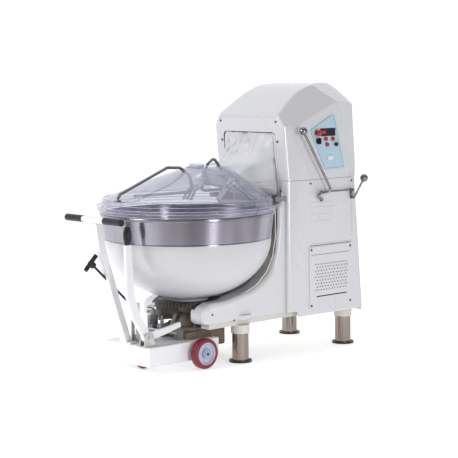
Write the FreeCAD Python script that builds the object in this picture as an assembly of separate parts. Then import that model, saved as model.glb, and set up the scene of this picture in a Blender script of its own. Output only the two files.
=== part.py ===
"""Twin-arm dough mixer with a removable bowl on a wheeled trolley.

Every piece is drawn about the bowl's vertical axis, in millimetres: +Z up,
+X towards the control panel, -Y towards the operator at the trolley's handle.
save() moves each piece so that the origin is the middle of the footprint.
"""
import FreeCAD, Part
import math
import os

V = FreeCAD.Vector
EX = V(1, 0, 0)
EY = V(0, 1, 0)
EZ = V(0, 0, 1)
BIG = 4000.0

# ---- driving dimensions -------------------------------------------------
WALL = 6.0                    # moulded casing wall
GAP = 0.4                     # gap between pieces that move apart

RIM_R, RIM_Z = 517.0, 900.0   # bowl rim
BAND_R, BAND_Z = 499.0, 745.0  # foot of the stainless band
BOWL_BOTTOM_Z = 379.0
BOWL_WALL = 6.0

LID_R, LID_Z = 538.0, 941.0   # flange of the clear cover
LID_FOOT_Z = 904.0            # lowest edge of the cover, just over the rim
LEDGE_R, LEDGE_Z = 497.0, 985.0
DOME_TOP_R, DOME_TOP_Y, DOME_TOP_Z = 105.0, 150.0, 1160.0
LID_WALL = 5.0
LID_SPLIT_Y = 76.0            # the front half lifts about this line
LID_HINGE_Z = 1172.0
LID_PIN_R = 5.0
LID_MOUTH_Y, LID_MOUTH_HALF = 262.0, 236.0
GUARD_R, GUARD_BEND = 9.0, 24.0

CASE_HALF = 331.0             # half width of the casing
FRONT_Y = 531.0               # foot of the leaning front wall
CORNER_X, CORNER_Y = 34.0, 151.0  # how far the front corners round off, across and along
NOSE_OUTER = 285.0            # outer face of the two forward noses
HOOD_Z0, HOOD_Z1 = 1064.0, 1650.0
FRONT_HALF = 262.0            # half width of the screwed front panel
PANEL_Z0, PANEL_Z1 = 978.0, 1446.0
MOUTH_HALF, MOUTH_TOP = 236.0, 1356.0
LINER_R, LINER_TOP = 545.0, 925.0
NOSE_INNER = 170.0            # inner face of the two forward noses

LEG_X, LEG_FRONT_Y, LEG_REAR_Y = 243.6, 196.5, 1080.0
LEG_R, LEG_TOP = 50.0, 175.0
BOSS_R, BOSS_TOP = 66.0, 286.0  # round boss on the nose, over the front leg
FOOT_R, FOOT_H = 68.5, 12.0
FOOT_BOLT_R, FOOT_BOLT_PCD = 5.5, 118.0

ARM_PIVOT_Y, ARM_PIVOT_Z = 640.0, 1090.0
ARM_X, ARM_WIDTH = 130.0, 46.0
ROCKER_R = 30.0
DRIVE_Y, DRIVE_Z = 870.0, 1010.0
DRIVE_SHAFT_R = 22.0
CRANK_LENGTH, CRANK_LEAN = 110.0, 45.0
LINK_X = 196.0
RUNNING = 0.05                # radial clearance of a shaft in its bore

MODULE, RING_TEETH, PINION_TEETH = 7.0, 54, 12
RING_Z0, RING_Z1 = 346.0, 374.0

TROLLEY_HALF, TROLLEY_Y0, TROLLEY_Y1 = 208.0, -471.0, 60.0
TROLLEY_Z0, TROLLEY_Z1 = 50.0, 162.0
WHEEL_R, WHEEL_X, WHEEL_Y, WHEEL_WIDTH = 90.0, 257.0, -99.5, 50.0
CASTER_Y, CASTER_R = -380.0, 40.0
HANDLE_Y, HANDLE_Z, HANDLE_HALF = -690.0, 898.0, 254.0
HANDLE_TUBE_R = 15.0
LATCH_X, LATCH_Y, LATCH_Z = 150.0, -440.0, 214.0
POST_X = -20.0
AXLE_R = 12.0
SPINDLE_R = 24.0
CASTER_TRAIL = 28.0
LOCK_R = 7.0
LOCK_START, LOCK_END = (POST_X, -702.0, 652.0), (POST_X, -386.0, 349.0)
LOCK_GRIP_HALF, LOCK_GRIP_R = 56.0, 13.0
LOCK_RUN = V(*LOCK_END) - V(*LOCK_START)
REAR_END = 1163.0             # back of the rear cover
FRONT_END = LOCK_START[1] + (LOCK_GRIP_HALF * LOCK_RUN.z - LOCK_GRIP_R * LOCK_RUN.y) / LOCK_RUN.Length
BOWL_AXIS_Y = -(FRONT_END + REAR_END) / 2   # bowl axis in the finished frame

LONG_LEVER_Y, LONG_LEVER_Z = 796.0, 934.0
SHORT_LEVER_Y, SHORT_LEVER_Z = 1063.0, 934.0
LEVER_TAB = 50.0


# ---- helpers --------------------------------------------------------------
def save(node, shape):
    """Write one sub-part in the finished frame."""
    shape = shape.copy()
    shape.translate(V(0, BOWL_AXIS_Y, 0))
    if not shape.isValid():
        print("INVALID", node)
    print("%-24s %2d solids %12.0f mm3" % (node, len(shape.Solids), shape.Volume))
    shape.exportStep("parts/%s.step" % node)


def box(x0, x1, y0, y1, z0, z1):
    return Part.makeBox(x1 - x0, y1 - y0, z1 - z0, V(x0, y0, z0))


def rod(start, end, radius):
    """A straight round bar between two points."""
    run = V(*end) - V(*start)
    return Part.makeCylinder(radius, run.Length, V(*start), run)


def cyl(x, y, z, axis, radius, length):
    return Part.makeCylinder(radius, length, V(x, y, z), axis)


def ball(x, y, z, radius):
    return Part.makeSphere(radius, V(x, y, z))


def both_sides(shape):
    """The shape and its mirror image across the middle plane."""
    return [shape, shape.mirror(V(0, 0, 0), EX)]


def fuse(shapes):
    shapes = list(shapes)
    if len(shapes) == 1:
        return shapes[0]
    return shapes[0].multiFuse(shapes[1:]).removeSplitter()


def group(shapes):
    """Separate solids kept together in one node."""
    solids = []
    for shape in shapes:
        solids.extend(shape.Solids)
    return Part.makeCompound(solids)


def corner_wire(corners, place):
    """A closed outline of straight runs; each corner is (a, b) or (a, b, radius)."""
    points = [V(c[0], c[1], 0) for c in corners]
    radii = [c[2] if len(c) > 2 else 0.0 for c in corners]
    count = len(points)
    starts, ends, arcs = [], [], []
    for i in range(count):
        here = points[i]
        back = (points[i - 1] - here).normalize()
        ahead = (points[(i + 1) % count] - here).normalize()
        if radii[i] <= 0:
            starts.append(here)
            ends.append(here)
            arcs.append(None)
            continue
        half = 0.5 * math.acos(max(-1.0, min(1.0, back.dot(ahead))))
        reach = radii[i] / math.tan(half)
        middle = (back + ahead).normalize()
        centre = here + middle * (radii[i] / math.sin(half))
        starts.append(here + back * reach)
        ends.append(here + ahead * reach)
        arcs.append(centre - middle * radii[i])
    edges = []
    for i in range(count):
        if arcs[i] is not None:
            edges.append(Part.Arc(place(starts[i]), place(arcs[i]), place(ends[i])).toShape())
        following = starts[(i + 1) % count]
        if (following - ends[i]).Length > 1e-6:
            edges.append(Part.LineSegment(place(ends[i]), place(following)).toShape())
    return Part.Wire(edges)


def extrude_x(corners, x0, x1):
    """Outline in (y, z), extruded along X."""
    face = Part.Face(corner_wire(corners, lambda p: V(x0, p.x, p.y)))
    return face.extrude(V(x1 - x0, 0, 0))


def extrude_y(corners, y0, y1):
    """Outline in (x, z), extruded along Y."""
    face = Part.Face(corner_wire(corners, lambda p: V(p.x, y0, p.y)))
    return face.extrude(V(0, y1 - y0, 0))


def extrude_z(corners, z0, z1):
    """Outline in (x, y), extruded along Z."""
    face = Part.Face(corner_wire(corners, lambda p: V(p.x, p.y, z0)))
    return face.extrude(V(0, 0, z1 - z0))


def turned_z(corners, x=0.0, y=0.0):
    """Outline in (radius, z), turned about a vertical axis."""
    face = Part.Face(corner_wire(corners, lambda p: V(x + p.x, y, p.y)))
    return face.revolve(V(x, y, 0), EZ, 360)


def turned_x(corners, y, z):
    """Outline in (x, radius), turned about an axis along X."""
    face = Part.Face(corner_wire(corners, lambda p: V(p.x, y, z + p.y)))
    return face.revolve(V(0, y, z), EX, 360)


def inset(corners, distance):
    """The same outline moved inwards by a distance (corners go anticlockwise)."""
    count = len(corners)
    moved = []
    for i in range(count):
        before = V(corners[i - 1][0], corners[i - 1][1], 0)
        here = V(corners[i][0], corners[i][1], 0)
        after = V(corners[(i + 1) % count][0], corners[(i + 1) % count][1], 0)
        d0 = (here - before).normalize()
        d1 = (after - here).normalize()
        n0 = V(-d0.y, d0.x, 0)
        n1 = V(-d1.y, d1.x, 0)
        middle = (n0 + n1).normalize()
        point = here + middle * (distance / middle.dot(n0))
        radius = corners[i][2] if len(corners[i]) > 2 else 0.0
        turn = d0.cross(d1).z
        radius = max(radius - distance, 1.0) if turn > 0 else radius + distance
        moved.append((point.x, point.y, radius if len(corners[i]) > 2 else 0.0))
    return moved


def path_wire(points, bend):
    """Straight runs joined by tangent arcs of one radius."""
    points = [V(*p) for p in points]
    edges = []
    last = points[0]
    for i in range(1, len(points) - 1):
        back = (points[i - 1] - points[i]).normalize()
        ahead = (points[i + 1] - points[i]).normalize()
        half = 0.5 * math.acos(max(-1.0, min(1.0, back.dot(ahead))))
        reach = bend / math.tan(half)
        middle = (back + ahead).normalize()
        top = points[i] + middle * (bend / math.sin(half) - bend)
        edges.append(Part.LineSegment(last, points[i] + back * reach).toShape())
        last = points[i] + ahead * reach
        edges.append(Part.Arc(points[i] + back * reach, top, last).toShape())
    edges.append(Part.LineSegment(last, points[-1]).toShape())
    return Part.Wire(edges)


def bent_bar(points, bend, radius):
    """A round bar that follows a bent path."""
    path = path_wire(points, bend)
    start = V(*points[0])
    tangent = V(*points[1]) - start
    circle = Part.Wire([Part.makeCircle(radius, start, tangent)])
    return Part.Solid(path.makePipeShell([circle], True, False))


def cut_beyond(shape, point, normal):
    """Remove what lies beyond a plane, on the side its normal points to."""
    normal = V(normal).normalize()
    slab = Part.makeBox(2 * BIG, 2 * BIG, BIG, V(-BIG, -BIG, 0))
    slab.Placement = FreeCAD.Placement(V(point), FreeCAD.Rotation(EZ, normal))
    return shape.cut(slab.copy())


def ribbon(centre, half_widths):
    """Outline of a tapering bar along a bent centre line, in one plane."""
    upper, lower = [], []
    for i, (a, b) in enumerate(centre):
        before = centre[max(i - 1, 0)]
        after = centre[min(i + 1, len(centre) - 1)]
        run = V(after[0] - before[0], after[1] - before[1], 0).normalize()
        side = V(-run.y, run.x, 0) * half_widths[i]
        upper.append((a + side.x, b + side.y))
        lower.append((a - side.x, b - side.y))
    corners = upper + lower[::-1]
    last = len(corners)
    ends = (0, len(upper) - 1, len(upper), last - 1)
    return [c + ((4.0,) if i in ends else (60.0,)) for i, c in enumerate(corners)]


def screw(x, y, z, axis, head_r, head_h, shank_r, shank_l):
    """A round-head screw whose head stands out along its axis."""
    head = Part.makeCylinder(head_r, head_h, V(x, y, z), axis)
    shank = Part.makeCylinder(shank_r, shank_l, V(x, y, z), axis * -1)
    return head.fuse(shank).removeSplitter()


# ---- casing ----------------------------------------------------------------
HOOD_SIDE = [                 # side outline (y, z), anticlockwise seen from +X
    (531, HOOD_Z0), (1096, HOOD_Z0), (1128, 1540, 140), (1100, HOOD_Z1, 90),
    (754, HOOD_Z1, 560), (489, 1459, 40)]
HOOD_EDGE_R, CROWN_EDGE_R = 18.0, 20.0
COVER_EDGE_R = 24.0
FRONT_LEAN = (FRONT_Y - 489.0) / (1459.0 - HOOD_Z0)
ROOF_EDGE = (V(CASE_HALF, 646, 1419), V(1.56, -0.408, 1.0))
REAR_EDGE = (V(CASE_HALF, 1081, 1223), V(CASE_HALF, 935, 1537), V(291, 1124, 1481))
CROWN_CORNER = (V(340, 930, 1530), V(0.573, 0.213, 0.791))


def plan_block(depth, lean, low, high):
    """An upright block with the casing's plan, whose front corners are quarter ellipses."""
    half, front = CASE_HALF - depth, FRONT_Y + depth
    a, b = CORNER_X - depth / 2, CORNER_Y - depth
    arcs = []
    for side in (1, -1):
        centre = V(side * (half - a), front + b, low)
        oval = Part.Ellipse(centre + V(0, -b, 0), centre + V(side * a, 0, 0), centre)
        arcs.append(Part.ArcOfEllipse(oval, 0, math.pi / 2).toShape())
    back = 1400
    corners = [V(half, front + b, low), V(half, back, low), V(-half, back, low),
               V(-half, front + b, low)]
    lines = [Part.makeLine(p, q) for p, q in zip(corners, corners[1:])]
    lines.append(Part.makeLine(V(a - half, front, low), V(half - a, front, low)))
    outline = Part.Wire(Part.__sortEdges__(arcs + lines))
    return Part.Face(outline).extrude(V(0, -lean * (high - low), high - low))


def facet_off(body, depth, spot, out):
    """Cut a mirrored pair of facets off a form, moved inwards by a depth."""
    planes = []
    for side in (1, -1):
        outward = V(side * out.x, out.y, out.z).normalize()
        place = V(side * spot.x, spot.y, spot.z) - outward * depth
        body = cut_beyond(body, place, outward)
        planes.append((place, outward))
    return body, planes


def round_off(body, planes, radius):
    """Fillet every edge that lies in one of the planes."""
    edges = [e for e in body.Edges if any(lies_in(e, plane) for plane in planes)]
    return body.makeFillet(radius, edges)


def hood_body(depth):
    """The upper casing's outer form, moved inwards by a depth."""
    half = CASE_HALF - depth
    corners = inset(HOOD_SIDE, depth)
    corners[0] = (corners[0][0], HOOD_Z0)
    corners[1] = (corners[1][0], HOOD_Z0)
    body = extrude_x(corners, -half, half)
    a, b, c = REAR_EDGE
    rear_normal = (b - a).cross(c - a)
    if rear_normal.x < 0:
        rear_normal = rear_normal * -1
    body, roof_planes = facet_off(body, depth, *ROOF_EDGE)
    body, rear_planes = facet_off(body, depth, a, rear_normal)
    body = round_off(body, roof_planes + rear_planes, HOOD_EDGE_R - depth)
    body, crown_planes = facet_off(body, depth, *CROWN_CORNER)
    body = round_off(body, crown_planes, CROWN_EDGE_R - depth)
    return body.common(plan_block(depth, FRONT_LEAN, HOOD_Z0, HOOD_Z1 + 50))


def lies_in(edge, plane):
    """True if both ends of an edge are in a plane."""
    place, normal = plane
    return all(abs((vertex.Point - place).dot(normal)) < 0.01 for vertex in edge.Vertexes)


LOWER_SIDE = [                # side outline (y, z) of the lower casing and its nose
    (1150, 216), (1156, 241), (1084, 1062), (531, 1062), (526, 985, 60), (487, 905, 80),
    (487, 800, 200), (470, 640, 200), (425, 520, 150), (300, 432, 300), (70, 384, 300),
    (-60, 379, 60), (-127, 352, 50), (-127, 262, 40), (53, 215, 60), (232, 203, 200),
    (440, 222, 300)]


def rounded_cover(outline, x0, x1, radius):
    """A side cover's block with its outer long edges rounded."""
    body = extrude_x(outline, x0, x1)
    outer = [e for e in body.Edges if abs(e.BoundBox.XMin - x1) < 0.1
             and e.BoundBox.ZMin < 1050 and e.BoundBox.YMin < 1060]
    return body.makeFillet(radius, outer)


def ring_clearance(grow):
    """Room in the noses for the ring gear under the bowl, and for its way out forwards."""
    radius = MODULE * RING_TEETH / 2 + MODULE + 3 + grow
    low = RING_Z0 - 4 - grow
    way_out = box(-radius, radius, -200, 0, low, low + 80)
    return cyl(0, 0, low, EZ, radius, 80).fuse(way_out)


def cover_form(depth):
    """The right lower cover's form, moved inwards by a depth: body, nose and leg boss."""
    outline = inset(LOWER_SIDE, depth) if depth else LOWER_SIDE
    inner, radius = NOSE_INNER + depth, COVER_EDGE_R - depth
    body = rounded_cover(outline, inner, CASE_HALF - depth, radius)
    nose = rounded_cover(outline, inner, NOSE_OUTER - depth, radius)
    boss = cyl(LEG_X, LEG_FRONT_Y, LEG_TOP, EZ, BOSS_R - depth, BOSS_TOP - depth - LEG_TOP)
    body = body.common(plan_block(depth, 0.0, 0, 1400))
    return body.fuse(nose).fuse(boss)


def lower_side_outer():
    """The right lower cover as a full block, outer faces only."""
    body = cover_form(0)
    behind_front = box(NOSE_INNER - 1, FRONT_HALF, 470, 1200, 150, 1100)
    return body.cut(behind_front).cut(ring_clearance(0))


def side_cover():
    outer = lower_side_outer()
    inner = cover_form(WALL)
    inner = inner.cut(ring_clearance(WALL))
    below = box(NOSE_INNER + WALL, CASE_HALF - WALL, -115, 1140, 150, 262)
    cover = outer.cut(inner)
    cover = cover.cut(below)
    open_back = box(NOSE_INNER - 1, FRONT_HALF, 462, 1200, 150, 1100)
    cross_beam = box(NOSE_INNER - 1, NOSE_INNER + 2 * WALL, 339, 411, 225, 307)
    cover = cover.cut(open_back).cut(cross_beam)
    vent_hole = box(CASE_HALF - WALL - 2, CASE_HALF + 2, 700, 1056, 280, 640)
    bores = [cyl(CASE_HALF - WALL - 2, y, z, EX, 9.3, 12)
             for y, z in ((LONG_LEVER_Y, LONG_LEVER_Z), (SHORT_LEVER_Y, SHORT_LEVER_Z))]
    return cover, vent_hole, bores


def casing_screws():
    """Round-head screws of the vent panel, the front panel and the right cover."""
    y0, y1, z0, z1 = VENT
    screws = [screw(CASE_HALF + 5, y, z, EX, 7, 3, 3, 4.9)
              for y, z in ((y0 + 16, z0 + 18), (y1 - 16, z0 + 18), (y0 + 16, z1 - 18),
                           (y1 - 16, z1 - 18))]
    screws += [screw(CASE_HALF, y, 1040, EX, 6, 3, 3, 5) for y in (705, 1066)]
    screws += [screw(NOSE_OUTER, y, z, EX, 6, 3, 3, 5) for y, z in ((-60, 316), (110, 262))]
    lean = V(0, -1, -FRONT_LEAN)
    for x in (-FRONT_HALF + 13, FRONT_HALF - 13):
        for z in (1000.0, 1300.0, 1420.0):
            y = FRONT_Y - FRONT_LEAN * (z - HOOD_Z0)
            screws.append(screw(x, y, z, lean, 7, 3, 3, 5))
    return screws


def front_wall():
    """The leaning front wall between the seams, as one slab."""
    slab = hood_body(0).cut(hood_body(WALL))
    upper = slab.common(box(-FRONT_HALF + GAP, FRONT_HALF - GAP, 400, 640, HOOD_Z0, PANEL_Z1))
    low_y = FRONT_Y - FRONT_LEAN * (PANEL_Z0 - HOOD_Z0)
    lower = extrude_x([(low_y, PANEL_Z0), (low_y + WALL, PANEL_Z0), (FRONT_Y + WALL, HOOD_Z0),
                       (FRONT_Y, HOOD_Z0)], -FRONT_HALF + GAP, FRONT_HALF - GAP)
    return fuse([upper, lower])


def make_casing():
    wall = hood_body(0).cut(hood_body(WALL))
    window = box(-FRONT_HALF, FRONT_HALF, 400, 640, HOOD_Z0 - 1, PANEL_Z1 + GAP)
    hood = wall.cut(window)
    for y, z, r in CONTROL_HOLES:
        hood = hood.cut(cyl(CASE_HALF - 20, y, z, EX, r + GAP, 40))
    save("hood", hood)

    panel = front_wall()
    mouth = extrude_y([(-MOUTH_HALF, PANEL_Z0 - 5), (MOUTH_HALF, PANEL_Z0 - 5),
                       (MOUTH_HALF, MOUTH_TOP, 30), (-MOUTH_HALF, MOUTH_TOP, 30)], 400, 640)
    screws = group(casing_screws())
    save("front_panel", panel.cut(mouth).cut(screws))
    save("casing_screws", screws)

    right, vent_hole, bores = side_cover()
    left = right.mirror(V(0, 0, 0), EX)
    right = right.cut(vent_hole)
    for bore in bores:
        right = right.cut(bore)
    right = right.cut(screws)
    save("side_cover_right", right)
    save("side_cover_left", left)

    liner_outline = [(300, 320), (306, 320), (306, 394, 30), (410, 446, 120), (480, 520, 120),
                     (524, 610, 120), (LINER_R, 730, 200), (LINER_R, LINER_TOP),
                     (LINER_R - WALL, LINER_TOP), (LINER_R - WALL, 731, 194),
                     (518, 612, 114), (475, 523, 114), (405, 451, 114), (300, 398, 24)]
    liner = turned_z(liner_outline)
    liner = liner.common(box(-FRONT_HALF + 1, FRONT_HALF - 1, 150, 600, 300, 1000))
    block = lower_side_outer()
    keep_clear = Part.makeCompound(both_sides(block))
    liner = liner.cut(keep_clear)
    low_skirt = Part.makeCompound(both_sides(box(NOSE_INNER - 2, 300, 100, 560, 300, 400)))
    liner = liner.cut(low_skirt).cut(box(-60, 60, 100, 340, 300, 342))
    save("cradle_liner", group([max(liner.Solids, key=lambda s: s.Volume)]))

    rear = extrude_x([(1085, 1062), (1157, 241), (1151, 216), (1157, 216),
                      (REAR_END, 241), (1091, 1062)], -CASE_HALF, CASE_HALF)
    save("rear_cover", rear)


# ---- vents ------------------------------------------------------------------
VENT = (690.0, 1066.0, 268.0, 650.0)
HOLE_ROWS, HOLES_PER_ROW, VENT_HOLE_R = 9, 12, 5.2
COLUMN_PITCH, ROW_PITCH = 24.0, 20.0


def make_vent():
    y0, y1, z0, z1 = VENT
    face = CASE_HALF
    plate = extrude_x([(y0, z0, 12), (y1, z0, 12), (y1, z1, 12), (y0, z1, 12)], face, face + 5)
    plug = extrude_x([(706, 286, 8), (1050, 286, 8), (1050, 634, 8), (706, 634, 8)],
                     face - 4, face)
    plate = plate.fuse(plug)
    holes = [box(face - 10, face + 10, 752, 1020, 336, 343)]
    for row in range(HOLE_ROWS):
        shift = COLUMN_PITCH / 2 if row % 2 else 0.0
        for i in range(HOLES_PER_ROW):
            holes.append(cyl(face - 10, 745.0 + shift + i * COLUMN_PITCH,
                             379.0 + row * ROW_PITCH, EX, VENT_HOLE_R, 20))
    plate = plate.cut(Part.makeCompound(holes)).removeSplitter()
    save("vent_panel", plate.cut(group(casing_screws())))


# ---- controls ---------------------------------------------------------------
PLATE_T = 3.0
STOP_AT = (760.0, 1346.0)
SELECTOR_AT = (768.0, 1297.0)
BUTTONS_AT = {"button_start_slow": (832.0, 1308.0), "button_start_fast": (893.0, 1307.0),
              "button_bowl_jog": (843.0, 1273.0), "button_stop": (922.0, 1272.0)}
STOP_STEM, SELECTOR_STEM, BUTTON_STEM = 11.0, 8.0, 9.0
CONTROL_HOLES = [STOP_AT + (STOP_STEM,), SELECTOR_AT + (SELECTOR_STEM,)] + [
    at + (BUTTON_STEM,) for at in BUTTONS_AT.values()]
DISPLAY = (787.0, 918.0, 1325.0, 1373.0)
PANEL_OUTLINE = [(700, 1364, 22), (831, 1118, 10), (1004, 1120, 10), (909, 1461, 22)]


def make_controls():
    face = CASE_HALF
    holes = [cyl(face - 20, y, z, EX, r + GAP, 40) for y, z, r in CONTROL_HOLES]
    plate = extrude_x(inset(PANEL_OUTLINE, 9), face, face + PLATE_T)
    plate = plate.cut(Part.makeCompound(holes))
    pocket = box(face + 1, face + 20, *DISPLAY)
    ring = extrude_x(PANEL_OUTLINE, face, face + 6).cut(
        extrude_x(inset(PANEL_OUTLINE, 9), face - 1, face + 10))
    badge = extrude_x([(843, 1172, 17), (907, 1172, 17), (907, 1206, 17), (843, 1206, 17)],
                      face + PLATE_T, face + PLATE_T + 1.5)
    save("control_panel", fuse([plate.cut(pocket), ring, badge]))
    save("display_window", box(face + 1, face + 4.5, *DISPLAY))

    front = face + PLATE_T
    y, z = STOP_AT
    collar = cyl(front, y, z, EX, 24, 4).cut(cyl(front - 1, y, z, EX, STOP_STEM + GAP, 8))
    mushroom = turned_x([(front + 16, 0), (front + 16, 19, 3), (front + 24, 20, 6),
                         (front + 30, 0)], y, z)
    stem = cyl(front - 16, y, z, EX, STOP_STEM, 33)
    save("stop_button", fuse([mushroom, stem]))

    y, z = SELECTOR_AT
    knob = cyl(front + 1, y, z, EX, 19, 12)
    grip = extrude_x([(y - 6, z - 18, 4), (y + 6, z - 18, 4), (y + 6, z + 18, 4),
                      (y - 6, z + 18, 4)], front + 13, front + 24)
    stem = cyl(front - 16, y, z, EX, SELECTOR_STEM, 18)
    save("selector_knob", fuse([knob, grip, stem]))

    for node, (y, z) in BUTTONS_AT.items():
        cap = cyl(front + 5, y, z, EX, 12, 7)
        stem = cyl(front - 12, y, z, EX, BUTTON_STEM, 18)
        save(node, fuse([cap, stem]))
    bezels = [cyl(front, y, z, EX, 15, 4.5).cut(cyl(front - 1, y, z, EX, 12 + GAP, 8))
              for y, z in BUTTONS_AT.values()]
    save("control_bezels", group([collar] + bezels))


# ---- frame and feet -----------------------------------------------------------
def make_frame():
    beams = both_sides(box(196, 266, -70, 1120, 226, 306))
    cross = [box(-200, 200, 340, 410, 226, 306), box(-200, 200, 1040, 1110, 226, 306),
             box(-276, 276, 600, 1110, 306, 316)]

    plate = extrude_x([(585, 316), (1000, 316), (1000, 1250), (585, 1250)], 226, 238)
    bore = cyl(-300, ARM_PIVOT_Y, ARM_PIVOT_Z, EX, ROCKER_R + RUNNING, 600)
    relief = extrude_x([(740, 1000, 20), (1001, 1000), (1001, 1200), (740, 1200, 20)], 225, 239)
    plate = plate.cut(relief)
    sides = both_sides(plate)
    ties = [box(-226, 226, 660, 1000, 748, 760), box(-226, 226, 985, 1000, 316, 748),
            box(-226, 226, 700, 1000, 1238, 1250), box(-226, 226, 660, 1000, 316, 326)]
    hubs = both_sides(cyl(212, ARM_PIVOT_Y, ARM_PIVOT_Z, EX, 52, 40))
    column = fuse(sides + ties + hubs).cut(bore)
    column = column.cut(box(BELT_X - 30, BELT_X + 30, 740, 960, 740, 770))
    save("column_frame", column)

    places = [(sx * LEG_X, y) for y in (LEG_FRONT_Y, LEG_REAR_Y) for sx in (-1, 1)]
    tubes, collars, feet = [], [], []
    for x, y in places:
        tubes.append(cyl(x, y, FOOT_H, EZ, LEG_R, LEG_TOP - FOOT_H)
                     .cut(cyl(x, y, FOOT_H, EZ, LEG_R - 4, LEG_TOP - FOOT_H)))
        collars.append(cyl(x, y, LEG_TOP, EZ, LEG_R + 7, 226 - LEG_TOP))
        foot = cyl(x, y, 0, EZ, FOOT_R, FOOT_H)
        for k in range(4):
            angle = math.radians(45 + 90 * k)
            foot = foot.cut(cyl(x + FOOT_BOLT_PCD / 2 * math.cos(angle),
                                y + FOOT_BOLT_PCD / 2 * math.sin(angle), -1, EZ,
                                FOOT_BOLT_R, FOOT_H + 2))
        feet.append(foot)
    save("chassis_frame", fuse(beams + cross + collars))
    save("leg_tubes", group(tubes))
    save("foot_flanges", group(feet))


# ---- drive --------------------------------------------------------------------
def pulley(x, y, z, radius):
    groove = [(x - 18, 0), (x + 18, 0), (x + 18, radius), (x + 13, radius), (x + 9, radius - 9),
              (x + 5, radius), (x - 5, radius), (x - 9, radius - 9), (x - 13, radius),
              (x - 18, radius)]
    return turned_x(groove, y, z)


BELT_X = -142.0
INPUT_Y, INPUT_Z, INPUT_R = 850.0, 862.0, 88.0
MOTOR_Y, MOTOR_Z, MOTOR_PULLEY_R = 850.0, 470.0, 44.0
INPUT_SHAFT_R, MOTOR_SHAFT_R = 16.0, 14.0


def make_drive():
    housing = box(-112, 112, 770, 970, 760, 1112)
    housing = housing.cut(cyl(-200, DRIVE_Y, DRIVE_Z, EX, DRIVE_SHAFT_R + RUNNING, 400))
    housing = housing.cut(cyl(-200, INPUT_Y, INPUT_Z, EX, INPUT_SHAFT_R + RUNNING, 250))
    save("gearbox_housing", housing)

    shaft = cyl(-50, INPUT_Y, INPUT_Z, EX * -1, INPUT_SHAFT_R, 112)
    wheel = pulley(BELT_X, INPUT_Y, INPUT_Z, INPUT_R)
    save("gearbox_pulley", fuse([wheel, shaft]))

    motor = turned_x([(-96, 0), (-96, 104, 6), (190, 104, 20), (190, 0)], MOTOR_Y, MOTOR_Z)
    feet = box(-70, 150, MOTOR_Y - 95, MOTOR_Y + 95, 326, MOTOR_Z - 60)
    motor = fuse([motor, feet]).cut(cyl(-200, MOTOR_Y, MOTOR_Z, EX, MOTOR_SHAFT_R + RUNNING, 140))
    save("motor", motor)
    shaft = cyl(-62, MOTOR_Y, MOTOR_Z, EX * -1, MOTOR_SHAFT_R, 100)
    wheel = pulley(BELT_X, MOTOR_Y, MOTOR_Z, MOTOR_PULLEY_R)
    save("motor_pulley", fuse([wheel, shaft]))

    belts = []
    rise = INPUT_Z - MOTOR_Z
    lean = math.asin((INPUT_R - MOTOR_PULLEY_R) / rise)
    for offset in (-9.0, 9.0):
        shapes = []
        for grow in (6.0, 0.8):
            top, low = INPUT_R + grow, MOTOR_PULLEY_R + grow
            c, s = math.cos(lean), math.sin(lean)
            ends = [V(0, MOTOR_Y + low * c, MOTOR_Z + low * -s),
                    V(0, INPUT_Y + top * c, INPUT_Z + top * -s),
                    V(0, INPUT_Y, INPUT_Z + top),
                    V(0, INPUT_Y - top * c, INPUT_Z + top * -s),
                    V(0, MOTOR_Y - low * c, MOTOR_Z + low * -s),
                    V(0, MOTOR_Y, MOTOR_Z - low)]
            wire = Part.Wire([Part.LineSegment(ends[0], ends[1]).toShape(),
                              Part.Arc(ends[1], ends[2], ends[3]).toShape(),
                              Part.LineSegment(ends[3], ends[4]).toShape(),
                              Part.Arc(ends[4], ends[5], ends[0]).toShape()])
            shapes.append(Part.Face(wire).extrude(V(7, 0, 0)))
        belt = shapes[0].cut(shapes[1])
        belt.translate(V(BELT_X + offset - 3.5, 0, 0))
        belts.append(belt)
    save("drive_belts", group(belts))


def crank_tip(y, z):
    lean = math.radians(CRANK_LEAN)
    return y + CRANK_LENGTH * math.sin(lean), z + CRANK_LENGTH * math.cos(lean)


def crank(y, z, shaft_r, x0, x1):
    """A flat lever leaning back from a cross shaft, with a pin at its tip."""
    tip_y, tip_z = crank_tip(y, z)
    blade = Part.makeBox(x1 - x0, 36, CRANK_LENGTH, V(x0, -18, 0))
    blade.Placement = FreeCAD.Placement(V(0, y, z), FreeCAD.Rotation(EX, -CRANK_LEAN))
    hub = cyl(x0, y, z, EX, shaft_r + 16, x1 - x0)
    eye = cyl(x0, tip_y, tip_z, EX, 22, x1 - x0)
    pin = cyl(x0, tip_y, tip_z, EX, 11, LINK_X + 9 - x0)
    return fuse([blade, hub, eye, pin])


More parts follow.
